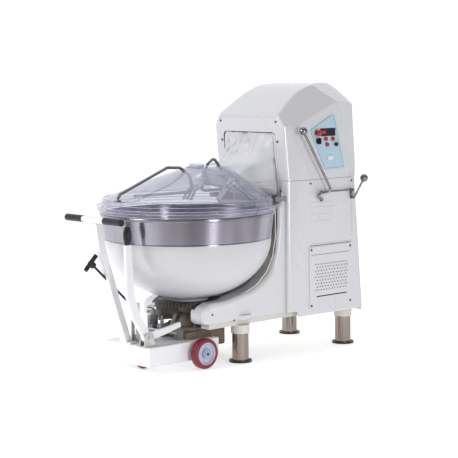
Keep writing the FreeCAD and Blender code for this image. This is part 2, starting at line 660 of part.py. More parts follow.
def make_arms():
    shaft = cyl(-250, ARM_PIVOT_Y, ARM_PIVOT_Z, EX, ROCKER_R, 500)
    cranks = both_sides(crank(ARM_PIVOT_Y, ARM_PIVOT_Z, ROCKER_R, 162, 184))
    save("rocker_shaft", fuse([shaft] + cranks))

    bore = cyl(-300, ARM_PIVOT_Y, ARM_PIVOT_Z, EX, ROCKER_R, 600)
    centre = [(ARM_PIVOT_Y, ARM_PIVOT_Z), (530, 1118), (380, 1114), (235, 1064)]
    arm = extrude_x(ribbon(centre, [36, 31, 28, 24]), ARM_X - ARM_WIDTH / 2, ARM_X + ARM_WIDTH / 2)
    hub = cyl(ARM_X - 31, ARM_PIVOT_Y, ARM_PIVOT_Z, EX, 54, 60)
    socket = rod((ARM_X, 248, 1066), (ARM_X, 214, 1050), 27)
    arm = fuse([arm, hub, socket]).cut(bore)
    save("arm_right", arm)
    save("arm_left", arm.mirror(V(0, 0, 0), EX))

    spade = extrude_x([(214, 1072), (206, 1030), (170, 988, 20), (128, 960, 10), (118, 972, 8),
                       (150, 1016, 30), (178, 1056, 30)], ARM_X - 7, ARM_X + 7)
    blade = extrude_x([(182, 1004, 6), (176, 996, 4), (122, 948, 8), (112, 958, 8)],
                      ARM_X - 46, ARM_X + 46)
    root = rod((ARM_X, 213.9, 1050), (ARM_X, 196, 1042), 22)
    save("tool_spade", fuse([spade, blade, root]).cut(arm))

    tines = []
    for offset in (-34.0, 0.0, 34.0):
        tines.append(bent_bar([(-ARM_X + offset, 190, 1034), (-ARM_X + offset, 150, 1016),
                               (-ARM_X + offset, 108, 956)], 24, 8.5))
    palm = extrude_x([(214, 1070), (208, 1028), (186, 1018, 5), (178, 1042, 8)],
                     -ARM_X - 44, -ARM_X + 44)
    save("tool_fork", fuse([palm] + tines).cut(arm.mirror(V(0, 0, 0), EX)))


def make_links():
    shaft = cyl(-184, DRIVE_Y, DRIVE_Z, EX, DRIVE_SHAFT_R, 368)
    cranks = both_sides(crank(DRIVE_Y, DRIVE_Z, DRIVE_SHAFT_R, 162, 184))
    save("drive_crank", fuse([shaft] + cranks))
    a = crank_tip(ARM_PIVOT_Y, ARM_PIVOT_Z)
    b = crank_tip(DRIVE_Y, DRIVE_Z)
    links = []
    for x0 in (LINK_X - 8, -LINK_X - 8):
        bar = rod((x0 + 8, a[0], a[1]), (x0 + 8, b[0], b[1]), 7.5)
        eyes = [cyl(x0, p[0], p[1], EX, 21, 16) for p in (a, b)]
        link = fuse([bar] + eyes)
        for p, clear in ((a, RUNNING), (b, 0.3)):
            link = link.cut(cyl(x0 - 5, p[0], p[1], EX, 11 + clear, 30))
        links.append(link)
    save("connecting_links", group(links))


# ---- gaiter ---------------------------------------------------------------------
def make_gaiter():
    drape = extrude_x([(524, 1172, 6), (524, 1348, 6), (498, 1348, 8), (452, 1300, 60),
                       (418, 1215, 40), (424, 1172, 12)], -MOUTH_HALF + 14, MOUTH_HALF - 14)
    save("gaiter_drape", drape)
    sleeves = []
    for x in (ARM_X, -ARM_X):
        centre = [(548, 1114), (470, 1119), (360, 1109)]
        outer = extrude_x(ribbon(centre, [44, 46, 42]), x - 46, x + 46)
        inner = extrude_x(ribbon([(600, 1102), (530, 1118), (380, 1114), (235, 1064)],
                                 [37, 34, 31, 27]), x - 26, x + 26)
        sleeves.append(outer.cut(inner))
    save("gaiter_sleeves", group(sleeves))


FRONT_GUARD = [(0, -519, 1004), (0, -500, 1030), (0, -150, 1166), (0, -52, 1160),
               (0, 22, 1108), (0, 44, 1012), (0, -396, 1012)]
REAR_GUARD = [(0, 205, 1014), (0, 110, 1014), (0, 128, 1092), (0, 158, 1168),
              (0, 214, 1206), (0, 262, 1150), (0, 318, 1060), (0, 292, 1014),
              (0, 207, 1014)]


# ---- bowl -------------------------------------------------------------------------
def bowl_profile(inner):
    """Half section (radius, z) of the painted lower bowl: a flattened ellipse."""
    a = BAND_R - (BOWL_WALL if inner else 0)
    b = BAND_Z - BOWL_BOTTOM_Z - (BOWL_WALL if inner else 0)
    return a, b


def ellipsoid_bowl(inner):
    a, b = bowl_profile(inner)
    curve = Part.Ellipse(V(a, 0, BAND_Z), V(0, 0, BAND_Z - b), V(0, 0, BAND_Z))
    quarter = curve.toShape(0, math.pi / 2)
    ends = [quarter.valueAt(quarter.FirstParameter), quarter.valueAt(quarter.LastParameter)]
    centre = V(0, 0, BAND_Z)
    wire = Part.Wire([quarter, Part.LineSegment(ends[1], centre).toShape(),
                      Part.LineSegment(centre, ends[0]).toShape()])
    return Part.Face(wire).revolve(V(0, 0, 0), EZ, 360)


def make_bowl():
    shell = ellipsoid_bowl(False).cut(ellipsoid_bowl(True))
    boss = turned_z([(0, RING_Z1), (118, RING_Z1), (118, 386), (0, 386)])
    boss = boss.cut(ellipsoid_bowl(False))
    save("bowl_shell", fuse([shell, boss]))

    slope = (RIM_R - BAND_R) / (RIM_Z - BAND_Z)
    band = turned_z([(BAND_R - BOWL_WALL, BAND_Z), (BAND_R + 3, BAND_Z),
                     (BAND_R + 3, BAND_Z + 5, 2), (BAND_R + 5 * slope, BAND_Z + 7),
                     (RIM_R - 3, RIM_Z - 20), (RIM_R + 3, RIM_Z - 14, 4), (RIM_R + 3, RIM_Z, 5),
                     (RIM_R - 9, RIM_Z, 5), (RIM_R - 9, RIM_Z - 20)])
    save("bowl_band", band)

    tooth = tooth_outline(RING_TEETH, 0.0)
    ring = extrude_z(tooth, RING_Z0, RING_Z1).cut(cyl(0, 0, RING_Z0 - 1, EZ, 96, 40))
    web = cyl(0, 0, 360, EZ, 97, 8)
    spindle = turned_z([(0, 250), (SPINDLE_R, 250), (SPINDLE_R, 330), (60, 330, 4), (60, 360),
                        (0, 360)])
    save("bowl_ring_gear", fuse([ring, web, spindle]))


def tooth_outline(teeth, turn):
    """Straight-sided gear teeth as (x, y) corners."""
    pitch_r = MODULE * teeth / 2
    tip, root = pitch_r + 0.9 * MODULE, pitch_r - 1.2 * MODULE
    step = 2 * math.pi / teeth
    play = 1.0 / pitch_r
    corners = []
    for i in range(teeth):
        middle = turn + math.pi / 2 + i * step
        flank = math.radians(20)
        for radius, sign in ((root, -1), (tip, -1), (tip, 1), (root, 1)):
            half = step / 4 - play - (radius - pitch_r) * math.tan(flank) / radius
            angle = middle + sign * half
            corners.append((radius * math.cos(angle), radius * math.sin(angle)))
    return corners


PINION_Y = MODULE * (RING_TEETH + PINION_TEETH) / 2


def make_pinion():
    corners = [(x, y + PINION_Y) for x, y in tooth_outline(PINION_TEETH, math.pi / PINION_TEETH)]
    gear = extrude_z(corners, RING_Z0 + 2, RING_Z1 - 2)
    shaft = cyl(0, PINION_Y, 262, EZ, 15, RING_Z1 - 2 - 262)
    save("bowl_drive_pinion", fuse([gear, shaft]))
    housing = box(-58, 58, 182, 336, 226, 330).fuse(cyl(0, PINION_Y, 330, EZ, 34, 10))
    save("bowl_drive_housing", housing.cut(cyl(0, PINION_Y, 255, EZ, 15 + RUNNING, 100)))


# ---- lid ----------------------------------------------------------------------------
def dome(grow):
    """Oblique rounded dome, larger or smaller by a wall thickness."""
    rings = []
    for share in (0.0, 0.35, 0.7, 1.0):
        bulge = 26.0 * math.sin(math.pi * share)
        radius = LEDGE_R - 14 + (DOME_TOP_R - LEDGE_R + 14) * share + bulge + grow
        z = LEDGE_Z + (DOME_TOP_Z - LEDGE_Z) * share
        if share == 1.0:
            z += grow
        rings.append(Part.Wire([Part.makeCircle(radius, V(0, DOME_TOP_Y * share, z))]))
    return Part.makeLoft(rings, True, False)


def lid_whole():
    skirt = turned_z([(RIM_R + 1, LID_FOOT_Z), (RIM_R + 6, LID_FOOT_Z), (LID_R, LID_Z - 8),
                      (LID_R, LID_Z), (LEDGE_R + 16, LID_Z), (LEDGE_R + 8, LEDGE_Z, 6),
                      (LEDGE_R - 30, LEDGE_Z), (LEDGE_R - 30, LEDGE_Z - LID_WALL),
                      (LEDGE_R + 3, LEDGE_Z - LID_WALL, 3), (LEDGE_R + 11, LID_Z - LID_WALL),
                      (LID_R - 7, LID_Z - LID_WALL - 3)])
    shell = dome(0).cut(dome(-LID_WALL))
    floor = cyl(0, 0, LEDGE_Z - 30, EZ, LEDGE_R + 60, 30)
    return fuse([skirt, shell.cut(floor)])


def hinge_leaf(y0, y1, knuckles, bore):
    """A flat leaf on the crown of the lid with its knuckles round the pin."""
    leaf = box(-60, 60, y0, y1, DOME_TOP_Z, DOME_TOP_Z + 3)
    parts = [leaf]
    for x0, x1 in knuckles:
        parts.append(cyl(x0, LID_SPLIT_Y, LID_HINGE_Z, EX, 9, x1 - x0))
        reach = (y0, LID_SPLIT_Y) if y0 < LID_SPLIT_Y else (LID_SPLIT_Y, y1)
        parts.append(box(x0, x1, reach[0] + 4, reach[1] - 4, DOME_TOP_Z, DOME_TOP_Z + 4))
    leaf = fuse(parts)
    return leaf.cut(cyl(-100, LID_SPLIT_Y, LID_HINGE_Z, EX, bore, 200))


def make_lid():
    whole = lid_whole()
    front = whole.common(box(-600, 600, -600, LID_SPLIT_Y - 4, 800, 1300))
    rear = whole.common(box(-600, 600, LID_SPLIT_Y + 4, 600, 800, 1300))
    front = front.cut(bent_bar(FRONT_GUARD, GUARD_BEND, GUARD_R))
    rear = rear.cut(bent_bar(REAR_GUARD, GUARD_BEND, GUARD_R))
    mouth = box(-LID_MOUTH_HALF, LID_MOUTH_HALF, LID_MOUTH_Y, 700, 800, 1300)
    rear = cut_beyond(rear.cut(mouth), V(0, 470, 1000), EY)
    front = max(front.Solids, key=lambda s: s.Volume)
    rear = max(rear.Solids, key=lambda s: s.Volume)
    save("lid_front", front)
    save("lid_rear", rear)

    foot = box(-14, 14, -530, -504, LEDGE_Z, LEDGE_Z + 14).cut(whole)
    handle = fuse([bent_bar(FRONT_GUARD, GUARD_BEND, GUARD_R), foot])
    moving_leaf = hinge_leaf(LID_SPLIT_Y - 40, LID_SPLIT_Y - 10, [(-29, 29)],
                             LID_PIN_R + RUNNING)
    save("lid_front_handle", group([handle, moving_leaf]))

    guard = bent_bar(REAR_GUARD, GUARD_BEND, GUARD_R)
    pin = cyl(-62, LID_SPLIT_Y, LID_HINGE_Z, EX, LID_PIN_R, 124)
    fixed_leaf = hinge_leaf(LID_SPLIT_Y + 10, LID_SPLIT_Y + 40, [(-60, -30), (30, 60)],
                            LID_PIN_R)
    stay = box(264, 300, 440, 560, LID_Z + 2, LID_Z + 30)
    stay = stay.cut(rear).cut(lower_side_outer())
    stay = max(stay.Solids, key=lambda s: s.Volume)
    save("lid_rear_brackets", group([guard, fuse([fixed_leaf, pin])] + both_sides(stay)))


# ---- trolley -------------------------------------------------------------------------
def make_trolley():
    shell = box(-TROLLEY_HALF, TROLLEY_HALF, TROLLEY_Y0, TROLLEY_Y1, TROLLEY_Z0, TROLLEY_Z1)
    shell = shell.makeFillet(8, [e for e in shell.Edges
                                 if e.BoundBox.ZMin > TROLLEY_Z1 - 1 or e.BoundBox.ZLength > 50])
    inside = box(-TROLLEY_HALF + 6, TROLLEY_HALF - 6, TROLLEY_Y0 + 6, TROLLEY_Y1 - 6,
                 TROLLEY_Z0 - 1, TROLLEY_Z1 - 6)
    shell = shell.cut(inside).cut(cyl(-300, WHEEL_Y, WHEEL_R, EX, AXLE_R, 600))
    save("trolley_box", shell)

    saddle = extrude_x([(-150, 162), (64, 162), (64, 104), (150, 104, 10), (150, 214, 10),
                        (-150, 200, 10)], -156, 156)
    tower = turned_z([(0, 196), (148, 196), (148, 224, 4), (104, 224, 6), (96, 262, 10),
                      (66, 300, 10), (66, 328, 3), (0, 328)])
    bosses = []
    for k in range(8):
        angle = math.radians(22.5 + 45 * k)
        bosses.append(cyl(126 * math.cos(angle), 126 * math.sin(angle), 220, EZ, 11, 14))
    bosses.append(extrude_x([(-150, 210), (-60, 210), (-60, 300, 12), (-96, 300, 12)], -14, 14))
    pedestal = fuse([saddle, tower] + bosses)
    save("bearing_pedestal", pedestal.cut(cyl(0, 0, 248, EZ, SPINDLE_R + RUNNING, 120)))

    post = extrude_x(ribbon([(-660, 906), (-636, 730), (-456, 170)], [22, 22, 20]),
                     POST_X - 25, POST_X + 25)
    bar = cyl(-HANDLE_HALF + 2, HANDLE_Y, HANDLE_Z, EX, HANDLE_TUBE_R, 2 * HANDLE_HALF - 4)
    sleeve = cyl(-100, HANDLE_Y, HANDLE_Z, EX, 17.5, 200)
    foot = box(POST_X - 55, POST_X + 55, -471, -420, TROLLEY_Z1, TROLLEY_Z1 + 10)
    lock_bore = rod(LOCK_START, LOCK_END, LOCK_R + 0.3)
    post = fuse([post, bar, sleeve, foot]).cut(lock_bore)
    post = post.cut(box(-200, 200, -700, -300, 0, TROLLEY_Z1))
    save("trolley_post", post)

    grips = [cyl(100, HANDLE_Y, HANDLE_Z, EX, 20, HANDLE_HALF - 100)
             .cut(cyl(90, HANDLE_Y, HANDLE_Z, EX, HANDLE_TUBE_R, HANDLE_HALF - 92))]
    save("handle_grips", group(both_sides(grips[0])))

    start, along = V(*LOCK_START), V(LOCK_RUN).normalize()
    across = V(0, -along.z, along.y)
    screw_bar = Part.makeCylinder(LOCK_R, LOCK_RUN.Length, start, along)
    hub = Part.makeCylinder(19, 34, start - along * 6, along)
    grip = Part.makeCylinder(LOCK_GRIP_R, 2 * LOCK_GRIP_HALF, start - across * LOCK_GRIP_HALF,
                             across)
    save("lock_screw", fuse([screw_bar, hub, grip]))
    bracket = box(POST_X - 30, POST_X + 30, -402, -378, 300, 392)
    leg = extrude_x([(-402, TROLLEY_Z1), (-330, TROLLEY_Z1), (-330, TROLLEY_Z1 + 10),
                     (-378, TROLLEY_Z1 + 40), (-378, 300), (-402, 300)], POST_X - 30, POST_X - 18)
    mirror_leg = leg.copy()
    mirror_leg.translate(V(48, 0, 0))
    bracket = fuse([bracket, leg, mirror_leg])
    bracket = bracket.cut(lock_bore)

    centre = [(-571, 757), (-560, 470), (-520, 345), (LATCH_Y, LATCH_Z)]
    shaft = extrude_x(ribbon(centre, [20, 25, 26, 24]), LATCH_X - 12, LATCH_X + 12)
    bar = extrude_x(ribbon([(LATCH_Y, LATCH_Z), (-300, 238), (-196, 262)], [22, 18, 14]),
                    LATCH_X - 10, LATCH_X + 10)
    eye = cyl(LATCH_X - 16, LATCH_Y, LATCH_Z, EX, 30, 32)
    lever = fuse([shaft, bar, eye]).cut(cyl(0, LATCH_Y, LATCH_Z, EX, 9 + RUNNING, 300))
    save("latch_lever", lever)
    knob = turned_z([(0, 757), (15, 757, 4), (22, 790, 30), (23, 826, 30), (14, 860, 12),
                     (0, 862)], LATCH_X, -571)
    save("latch_knob", knob.cut(lever))
    ears = [extrude_x([(-478, TROLLEY_Z1), (-402, TROLLEY_Z1), (-412, 240, 18), (-468, 240, 18)],
                      x0, x0 + 8) for x0 in (LATCH_X - 25, LATCH_X + 17)]
    plate = box(LATCH_X - 25, LATCH_X + 25, -471, -402, TROLLEY_Z1, TROLLEY_Z1 + 6)
    pin = cyl(LATCH_X - 30, LATCH_Y, LATCH_Z, EX, 9, 60)
    clear = box(0, 300, -700, -471, 0, TROLLEY_Z1)
    save("trolley_brackets", group([bracket, fuse(ears + [plate, pin]).cut(clear)]))


def make_wheels():
    x0, x1 = WHEEL_X - WHEEL_WIDTH / 2, WHEEL_X + WHEEL_WIDTH / 2
    tyre = turned_x([(x0, 66), (x1, 66), (x1, WHEEL_R, 14), (x0, WHEEL_R, 14)],
                    WHEEL_Y, WHEEL_R)
    hub = turned_x([(x0 + 2, 24), (x0 + 8, 24), (x0 + 12, 54), (x0 + 2, 60), (x0 + 2, 66),
                    (x1 - 2, 66), (x1 - 2, 60), (x1 - 12, 54), (x1 - 8, 24), (x1 + 3, 24),
                    (x1 + 3, AXLE_R + RUNNING), (x0 - 4, AXLE_R + RUNNING), (x0 - 4, 24)],
                   WHEEL_Y, WHEEL_R)
    save("wheel_tyres", group(both_sides(tyre)))
    save("wheel_hubs", group(both_sides(hub)))
    axle = cyl(-290, WHEEL_Y, WHEEL_R, EX, AXLE_R, 580)
    collars = both_sides(cyl(WHEEL_X + WHEEL_WIDTH / 2 + 3.5, WHEEL_Y, WHEEL_R, EX, 19, 5))
    save("wheel_axle", fuse([axle] + collars))

    plate = cyl(0, CASTER_Y, 147, EZ, 42, TROLLEY_Z1 - 6 - GAP - 147)
    cheek = extrude_x([(CASTER_Y - 24, 147), (CASTER_Y + 26, 147), (CASTER_Y + 46, CASTER_R, 12),
                       (CASTER_Y + 14, CASTER_R - 16, 10), (CASTER_Y + 8, 60)], 20, 26)
    pin = cyl(-28, CASTER_Y + CASTER_TRAIL, CASTER_R, EX, 6, 56)
    save("caster_fork", fuse([plate, pin] + both_sides(cheek)))
    save("caster_wheel", turned_x([(-17, 6 + RUNNING), (17, 6 + RUNNING), (17, CASTER_R, 6),
                                   (-17, CASTER_R, 6)], CASTER_Y + CASTER_TRAIL, CASTER_R))


# ---- side levers ---------------------------------------------------------------------
def lever_tab(y, z):
    """Upright tab with the pin that the connecting rod hangs on."""
    tab = extrude_x([(y - 12, z, 5), (y + 12, z, 5), (y + 4, z + LEVER_TAB + 9, 6),
                     (y - 16, z + LEVER_TAB + 9, 6)], CASE_HALF + 3, CASE_HALF + 9)
    return tab.fuse(cyl(CASE_HALF + 3, y - 6, z + LEVER_TAB, EX, 4, 19))


def make_levers():
    y, z = LONG_LEVER_Y, LONG_LEVER_Z
    long_path = [(312, y, z), (351, y, z), (351, y - 60, z + 36), (391, y + 30, z + 60),
                 (391, y - 210, z + 430)]
    save("long_lever", fuse([bent_bar(long_path, 15, 8), ball(391, y - 210, z + 430, 25),
                             lever_tab(y, z)]))
    y, z = SHORT_LEVER_Y, SHORT_LEVER_Z
    short_path = [(312, y, z), (360, y, z), (391, y + 55, z + 121)]
    save("short_lever", fuse([bent_bar(short_path, 14, 7), ball(391, y + 55, z + 121, 25),
                              lever_tab(y, z)]))
    x = CASE_HALF + 15.5
    y0, y1 = LONG_LEVER_Y - 6, SHORT_LEVER_Y - 6
    z = LONG_LEVER_Z + LEVER_TAB
    link = fuse([rod((x, y0, z), (x, y1, z), 5), cyl(x - 5, y0, z, EX, 9, 10),
                 cyl(x - 5, y1, z, EX, 9, 10)])
    link = link.cut(cyl(x - 20, y0, z, EX, 4 + RUNNING, 40))
    save("lever_link", link.cut(cyl(x - 20, y1, z, EX, 4.3, 40)))


def main():
    os.makedirs("parts", exist_ok=True)
    make_casing()
    make_vent()
    make_controls()
    make_frame()
    make_drive()
    make_arms()
    make_links()
    make_gaiter()
    make_bowl()
    make_pinion()
    make_lid()
    make_trolley()
    make_wheels()
    make_levers()


main()
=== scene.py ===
"""Looks of the twin-arm dough mixer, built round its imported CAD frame. Metres, +Z up."""

import math

import bpy
from mathutils import Matrix, Vector, noise


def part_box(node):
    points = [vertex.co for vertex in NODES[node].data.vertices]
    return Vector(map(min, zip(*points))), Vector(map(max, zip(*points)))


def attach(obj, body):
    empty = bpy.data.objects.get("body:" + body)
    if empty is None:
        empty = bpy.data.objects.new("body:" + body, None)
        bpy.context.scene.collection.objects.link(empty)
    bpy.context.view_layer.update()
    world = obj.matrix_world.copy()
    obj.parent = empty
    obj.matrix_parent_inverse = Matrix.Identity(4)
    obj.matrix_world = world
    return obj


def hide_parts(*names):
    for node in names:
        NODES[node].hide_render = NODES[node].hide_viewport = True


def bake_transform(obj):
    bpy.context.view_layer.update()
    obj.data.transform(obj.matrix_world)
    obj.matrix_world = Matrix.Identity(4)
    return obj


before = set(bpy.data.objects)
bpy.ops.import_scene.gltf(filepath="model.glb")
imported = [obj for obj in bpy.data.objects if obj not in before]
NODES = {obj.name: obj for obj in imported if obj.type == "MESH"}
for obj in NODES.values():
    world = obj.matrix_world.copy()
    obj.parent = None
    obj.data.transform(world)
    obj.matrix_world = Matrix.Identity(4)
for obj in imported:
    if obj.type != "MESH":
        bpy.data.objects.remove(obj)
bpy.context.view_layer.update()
MM = 0.001

# ---- places taken from the frame ------------------------------------------------------------
BAND_LOW, BAND_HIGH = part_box("bowl_band")
AXIS_Y = (BAND_LOW.y + BAND_HIGH.y) / 2      # the bowl's vertical axis is at x 0, y AXIS_Y
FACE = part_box("side_cover_right")[1].x / MM  # outer face of the right cover, in millimetres
UP, TO_FRONT, TO_RIGHT = (0, 0, 1), (0, -1, 0), (1, 0, 0)


def at(x, y, z):
    """A point given in millimetres about the bowl's axis."""
    return Vector((x * MM, y * MM + AXIS_Y, z * MM))


# ---- camera ---------------------------------------------------------------------------------
LENS_MM, SENSOR_MM, CLIP_END = 113.56, 36.0, 60.0
CAMERA_PLACE = (6532.9, -5525.2, 1703.6)
CAMERA_RIGHT = Vector((0.66820, 0.74393, -0.00868))
CAMERA_UP = Vector((-0.07322, 0.07737, 0.99431))
CAMERA_BACK = Vector((0.74037, -0.66376, 0.10617))


def make_camera():
    """A long lens, a little above the bowl and off its front right."""
    data = bpy.data.cameras.new("camera")
    data.lens, data.sensor_width = LENS_MM, SENSOR_MM
    data.clip_end = CLIP_END
    camera = bpy.data.objects.new("camera", data)
    bpy.context.scene.collection.objects.link(camera)
    turn = Matrix((CAMERA_RIGHT, CAMERA_UP, CAMERA_BACK)).transposed().to_4x4()
    camera.matrix_world = Matrix.Translation(at(*CAMERA_PLACE)) @ turn
    bpy.context.scene.camera = camera


make_camera()


# ---- node helpers ---------------------------------------------------------------------------
class Paint:
    """A Principled material with a few procedural inputs."""

    def __init__(self, name, colour, roughness, metallic=0.0, **sockets):
        self.material = bpy.data.materials.new(name)
        self.material.use_nodes = True
        self.tree = self.material.node_tree
        self.shader = self.tree.nodes["Principled BSDF"]
        self.colour = colour
        self.shader.inputs["Base Color"].default_value = (*colour, 1)
        self.shader.inputs["Roughness"].default_value = roughness
        self.shader.inputs["Metallic"].default_value = metallic
        for socket, value in sockets.items():
            self.shader.inputs[socket.replace("_", " ")].default_value = value
        self.place = self.tree.nodes.new("ShaderNodeTexCoord").outputs["Object"]

    def node(self, kind, **settings):
        made = self.tree.nodes.new(kind)
        for key, value in settings.items():
            setattr(made, key, value)
        return made

    def link(self, out, into):
        self.tree.links.new(out, into)

    def stretched(self, scale):
        mapping = self.node("ShaderNodeMapping")
        mapping.inputs["Scale"].default_value = scale
        self.link(self.place, mapping.inputs["Vector"])
        return mapping.outputs["Vector"]

    def noise(self, scale, stretch=(1, 1, 1), detail=3.0, rough=0.55):
        made = self.node("ShaderNodeTexNoise")
        made.inputs["Scale"].default_value = scale
        made.inputs["Detail"].default_value = detail
        made.inputs["Roughness"].default_value = rough
        self.link(self.stretched(stretch), made.inputs["Vector"])
        return made.outputs["Fac"]

    def ranged(self, value, low, high, start=0.3, end=0.7):
        made = self.node("ShaderNodeMapRange")
        for socket, number in (("From Min", start), ("From Max", end), ("To Min", low),
                               ("To Max", high)):
            made.inputs[socket].default_value = number
        self.link(value, made.inputs["Value"])
        return made.outputs["Result"]

    def mix(self, factor, a, b):
        made = self.node("ShaderNodeMix", data_type="RGBA")
        self.link(factor, made.inputs["Factor"])
        for socket, colour in (("A", a), ("B", b)):
            target = [s for s in made.inputs if s.name == socket and s.type == "RGBA"][0]
            if isinstance(colour, tuple):
                target.default_value = (*colour, 1)
            else:
                self.link(colour, target)
        return [s for s in made.outputs if s.type == "RGBA"][0]

    def tint(self, value, other, base=None):
        """Colour runs from the base to another one where the value is high."""
        self.link(self.mix(value, base or self.colour, other), self.shader.inputs["Base Color"])

    def vary_roughness(self, value, low, high):
        self.link(self.ranged(value, low, high), self.shader.inputs["Roughness"])

    def bump(self, value, strength, distance=0.001):
        made = self.node("ShaderNodeBump")
        made.inputs["Strength"].default_value = strength
        made.inputs["Distance"].default_value = distance
        self.link(value, made.inputs["Height"])
        previous = self.shader.inputs["Normal"]
        if previous.is_linked:
            self.link(previous.links[0].from_socket, made.inputs["Normal"])
        self.link(made.outputs["Normal"], previous)


ORANGE_PEEL = 0.12           # strength of the bump on painted and moulded gloss


def painted(name, colour, shade, roughness, coat):
    """Enamel or moulded gloss: faint cloudiness, orange peel and uneven gloss."""
    paint = Paint(name, colour, roughness, Coat_Weight=coat, Coat_Roughness=0.08)
    cloud = paint.noise(3.0, detail=4.0)
    paint.tint(paint.ranged(cloud, 0.0, 0.6, 0.3, 0.8), shade)
    paint.vary_roughness(paint.noise(5.0, detail=5.0), roughness * 0.88, roughness * 1.15)
    paint.bump(paint.noise(420.0, detail=1.0), ORANGE_PEEL, 0.0002)
    return paint


def metal(name, colour, shade, roughness, stretch, grain=60.0, depth=0.12, **sockets):
    """Bare metal with a brushed or turned grain along the stretched direction."""
    paint = Paint(name, colour, roughness, 1.0, **sockets)
    lines = paint.noise(grain, stretch, detail=6.0, rough=0.7)
    paint.tint(paint.ranged(lines, 0.0, 1.0, 0.35, 0.7), shade)
    paint.vary_roughness(lines, roughness * 0.75, roughness * 1.35)
    paint.bump(lines, depth, 0.0003)
    return paint


def cast(name, colour, shade, roughness):
    """A rough casting with darker stains."""
    paint = Paint(name, colour, roughness)
    grain = paint.noise(160.0, detail=4.0)
    stain = paint.noise(14.0, detail=5.0)
    paint.tint(paint.ranged(stain, 0.0, 1.0, 0.4, 0.68), shade)
    paint.vary_roughness(stain, roughness * 0.7, roughness * 1.1)
    paint.bump(grain, 0.35, 0.0008)
    return paint


def plastic(name, colour, shade, roughness, grain=900.0, depth=0.2):
    """Moulded plastic or rubber with a fine grain."""
    paint = Paint(name, colour, roughness)
    paint.tint(paint.ranged(paint.noise(30.0), 0.0, 1.0), shade)
    paint.vary_roughness(paint.noise(60.0), roughness * 0.85, roughness * 1.15)
    paint.bump(paint.noise(grain, detail=2.0), depth, 0.0003)
    return paint


# ---- materials ------------------------------------------------------------------------------
ROUND_Z = (1, 1, 90)         # grain that runs round a vertical axis
ALONG_Z = (40, 40, 1)

SHELL = painted("shell_white", (0.60, 0.60, 0.625), (0.58, 0.58, 0.607), 0.26, 0.4)
ENAMEL = painted("enamel_white", (0.52, 0.52, 0.54), (0.49, 0.49, 0.51), 0.3, 0.35)
TROLLEY = painted("trolley_white", (0.74, 0.74, 0.76), (0.68, 0.68, 0.7), 0.34, 0.3)
FRAME = painted("frame_grey", (0.62, 0.61, 0.58), (0.52, 0.5, 0.47), 0.4, 0.2)
LINER = painted("liner_beige", (0.72, 0.66, 0.58), (0.6, 0.53, 0.45), 0.42, 0.15)
BAND = metal("band_brushed", (0.31, 0.30, 0.34), (0.24, 0.23, 0.27), 0.24, ROUND_Z, 26.0, 0.05,
             Anisotropic=0.7, Anisotropic_Rotation=0.25)
LEG = metal("leg_brushed", (0.34, 0.29, 0.26), (0.2, 0.16, 0.14), 0.2, ALONG_Z, 3.0, 0.03)
ARM = metal("arm_polished", (0.66, 0.66, 0.68), (0.5, 0.5, 0.52), 0.25, (1, 1, 1), 40.0, 0.05)
BAR = metal("bar_polished", (0.33, 0.33, 0.345), (0.22, 0.22, 0.24), 0.24, (1, 1, 1), 50.0, 0.04)
CHROME = metal("chrome", (0.30, 0.28, 0.275), (0.17, 0.155, 0.15), 0.12, (1, 1, 1), 30.0, 0.02)
TURNED = metal("turned_steel", (0.5, 0.5, 0.51), (0.36, 0.36, 0.37), 0.32, (60, 1, 1), 20.0)
ZINC = metal("zinc_plate", (0.60, 0.60, 0.58), (0.42, 0.42, 0.4), 0.38, (1, 1, 1), 26.0, 0.1)
SCREW = metal("screw_dark", (0.13, 0.12, 0.12), (0.05, 0.045, 0.045), 0.35, (1, 1, 1), 60.0)
GEAR = cast("gear_dark", (0.085, 0.06, 0.055), (0.035, 0.025, 0.022), 0.5)
PEDESTAL = cast("pedestal_brown", (0.17, 0.13, 0.10), (0.08, 0.06, 0.045), 0.62)
GREY_CAST = cast("casting_grey", (0.2, 0.21, 0.22), (0.12, 0.12, 0.13), 0.6)
FOOT = painted("foot_grey", (0.016, 0.014, 0.016), (0.01, 0.009, 0.01), 0.45, 0.05)
MOTOR = painted("motor_enamel", (0.07, 0.12, 0.2), (0.05, 0.08, 0.14), 0.4, 0.2)
BLACK = plastic("black_plastic", (0.012, 0.012, 0.014), (0.024, 0.024, 0.027), 0.38)
NYLON = plastic("wheel_nylon", (0.46, 0.47, 0.60), (0.38, 0.39, 0.52), 0.3)
TYRE = plastic("tyre_red", (0.24, 0.006, 0.022), (0.16, 0.004, 0.014), 0.34, 500.0)
BELT = plastic("belt_rubber", (0.02, 0.02, 0.02), (0.035, 0.035, 0.035), 0.8)
PANEL = plastic("panel_blue", (0.42, 0.58, 0.66), (0.38, 0.54, 0.63), 0.28, 1500.0, 0.08)
LENS = plastic("display_lens", (0.012, 0.01, 0.014), (0.02, 0.014, 0.018), 0.08, 300.0, 0.02)
RED = plastic("cap_red", (0.5, 0.012, 0.016), (0.42, 0.01, 0.012), 0.25)
WHITE = plastic("cap_white", (0.7, 0.72, 0.75), (0.62, 0.64, 0.68), 0.25)


def clear_lid():
    """Clear moulded cover: see-through head on, glossy and tinted at grazing angles."""
    paint = Paint("lid_clear", (0.42, 0.42, 0.56), 0.05, Coat_Weight=0.5, Coat_Roughness=0.03,
                  IOR=1.49)
    facing = paint.node("ShaderNodeLayerWeight")
    facing.inputs["Blend"].default_value = 0.3
    alpha = paint.ranged(facing.outputs["Facing"], 0.06, 0.7, 0.0, 0.9)
    paint.link(alpha, paint.shader.inputs["Alpha"])
    paint.vary_roughness(paint.noise(16.0, detail=4.0), 0.03, 0.1)
    paint.bump(paint.noise(7.0, detail=1.0), 0.1, 0.004)
    return paint


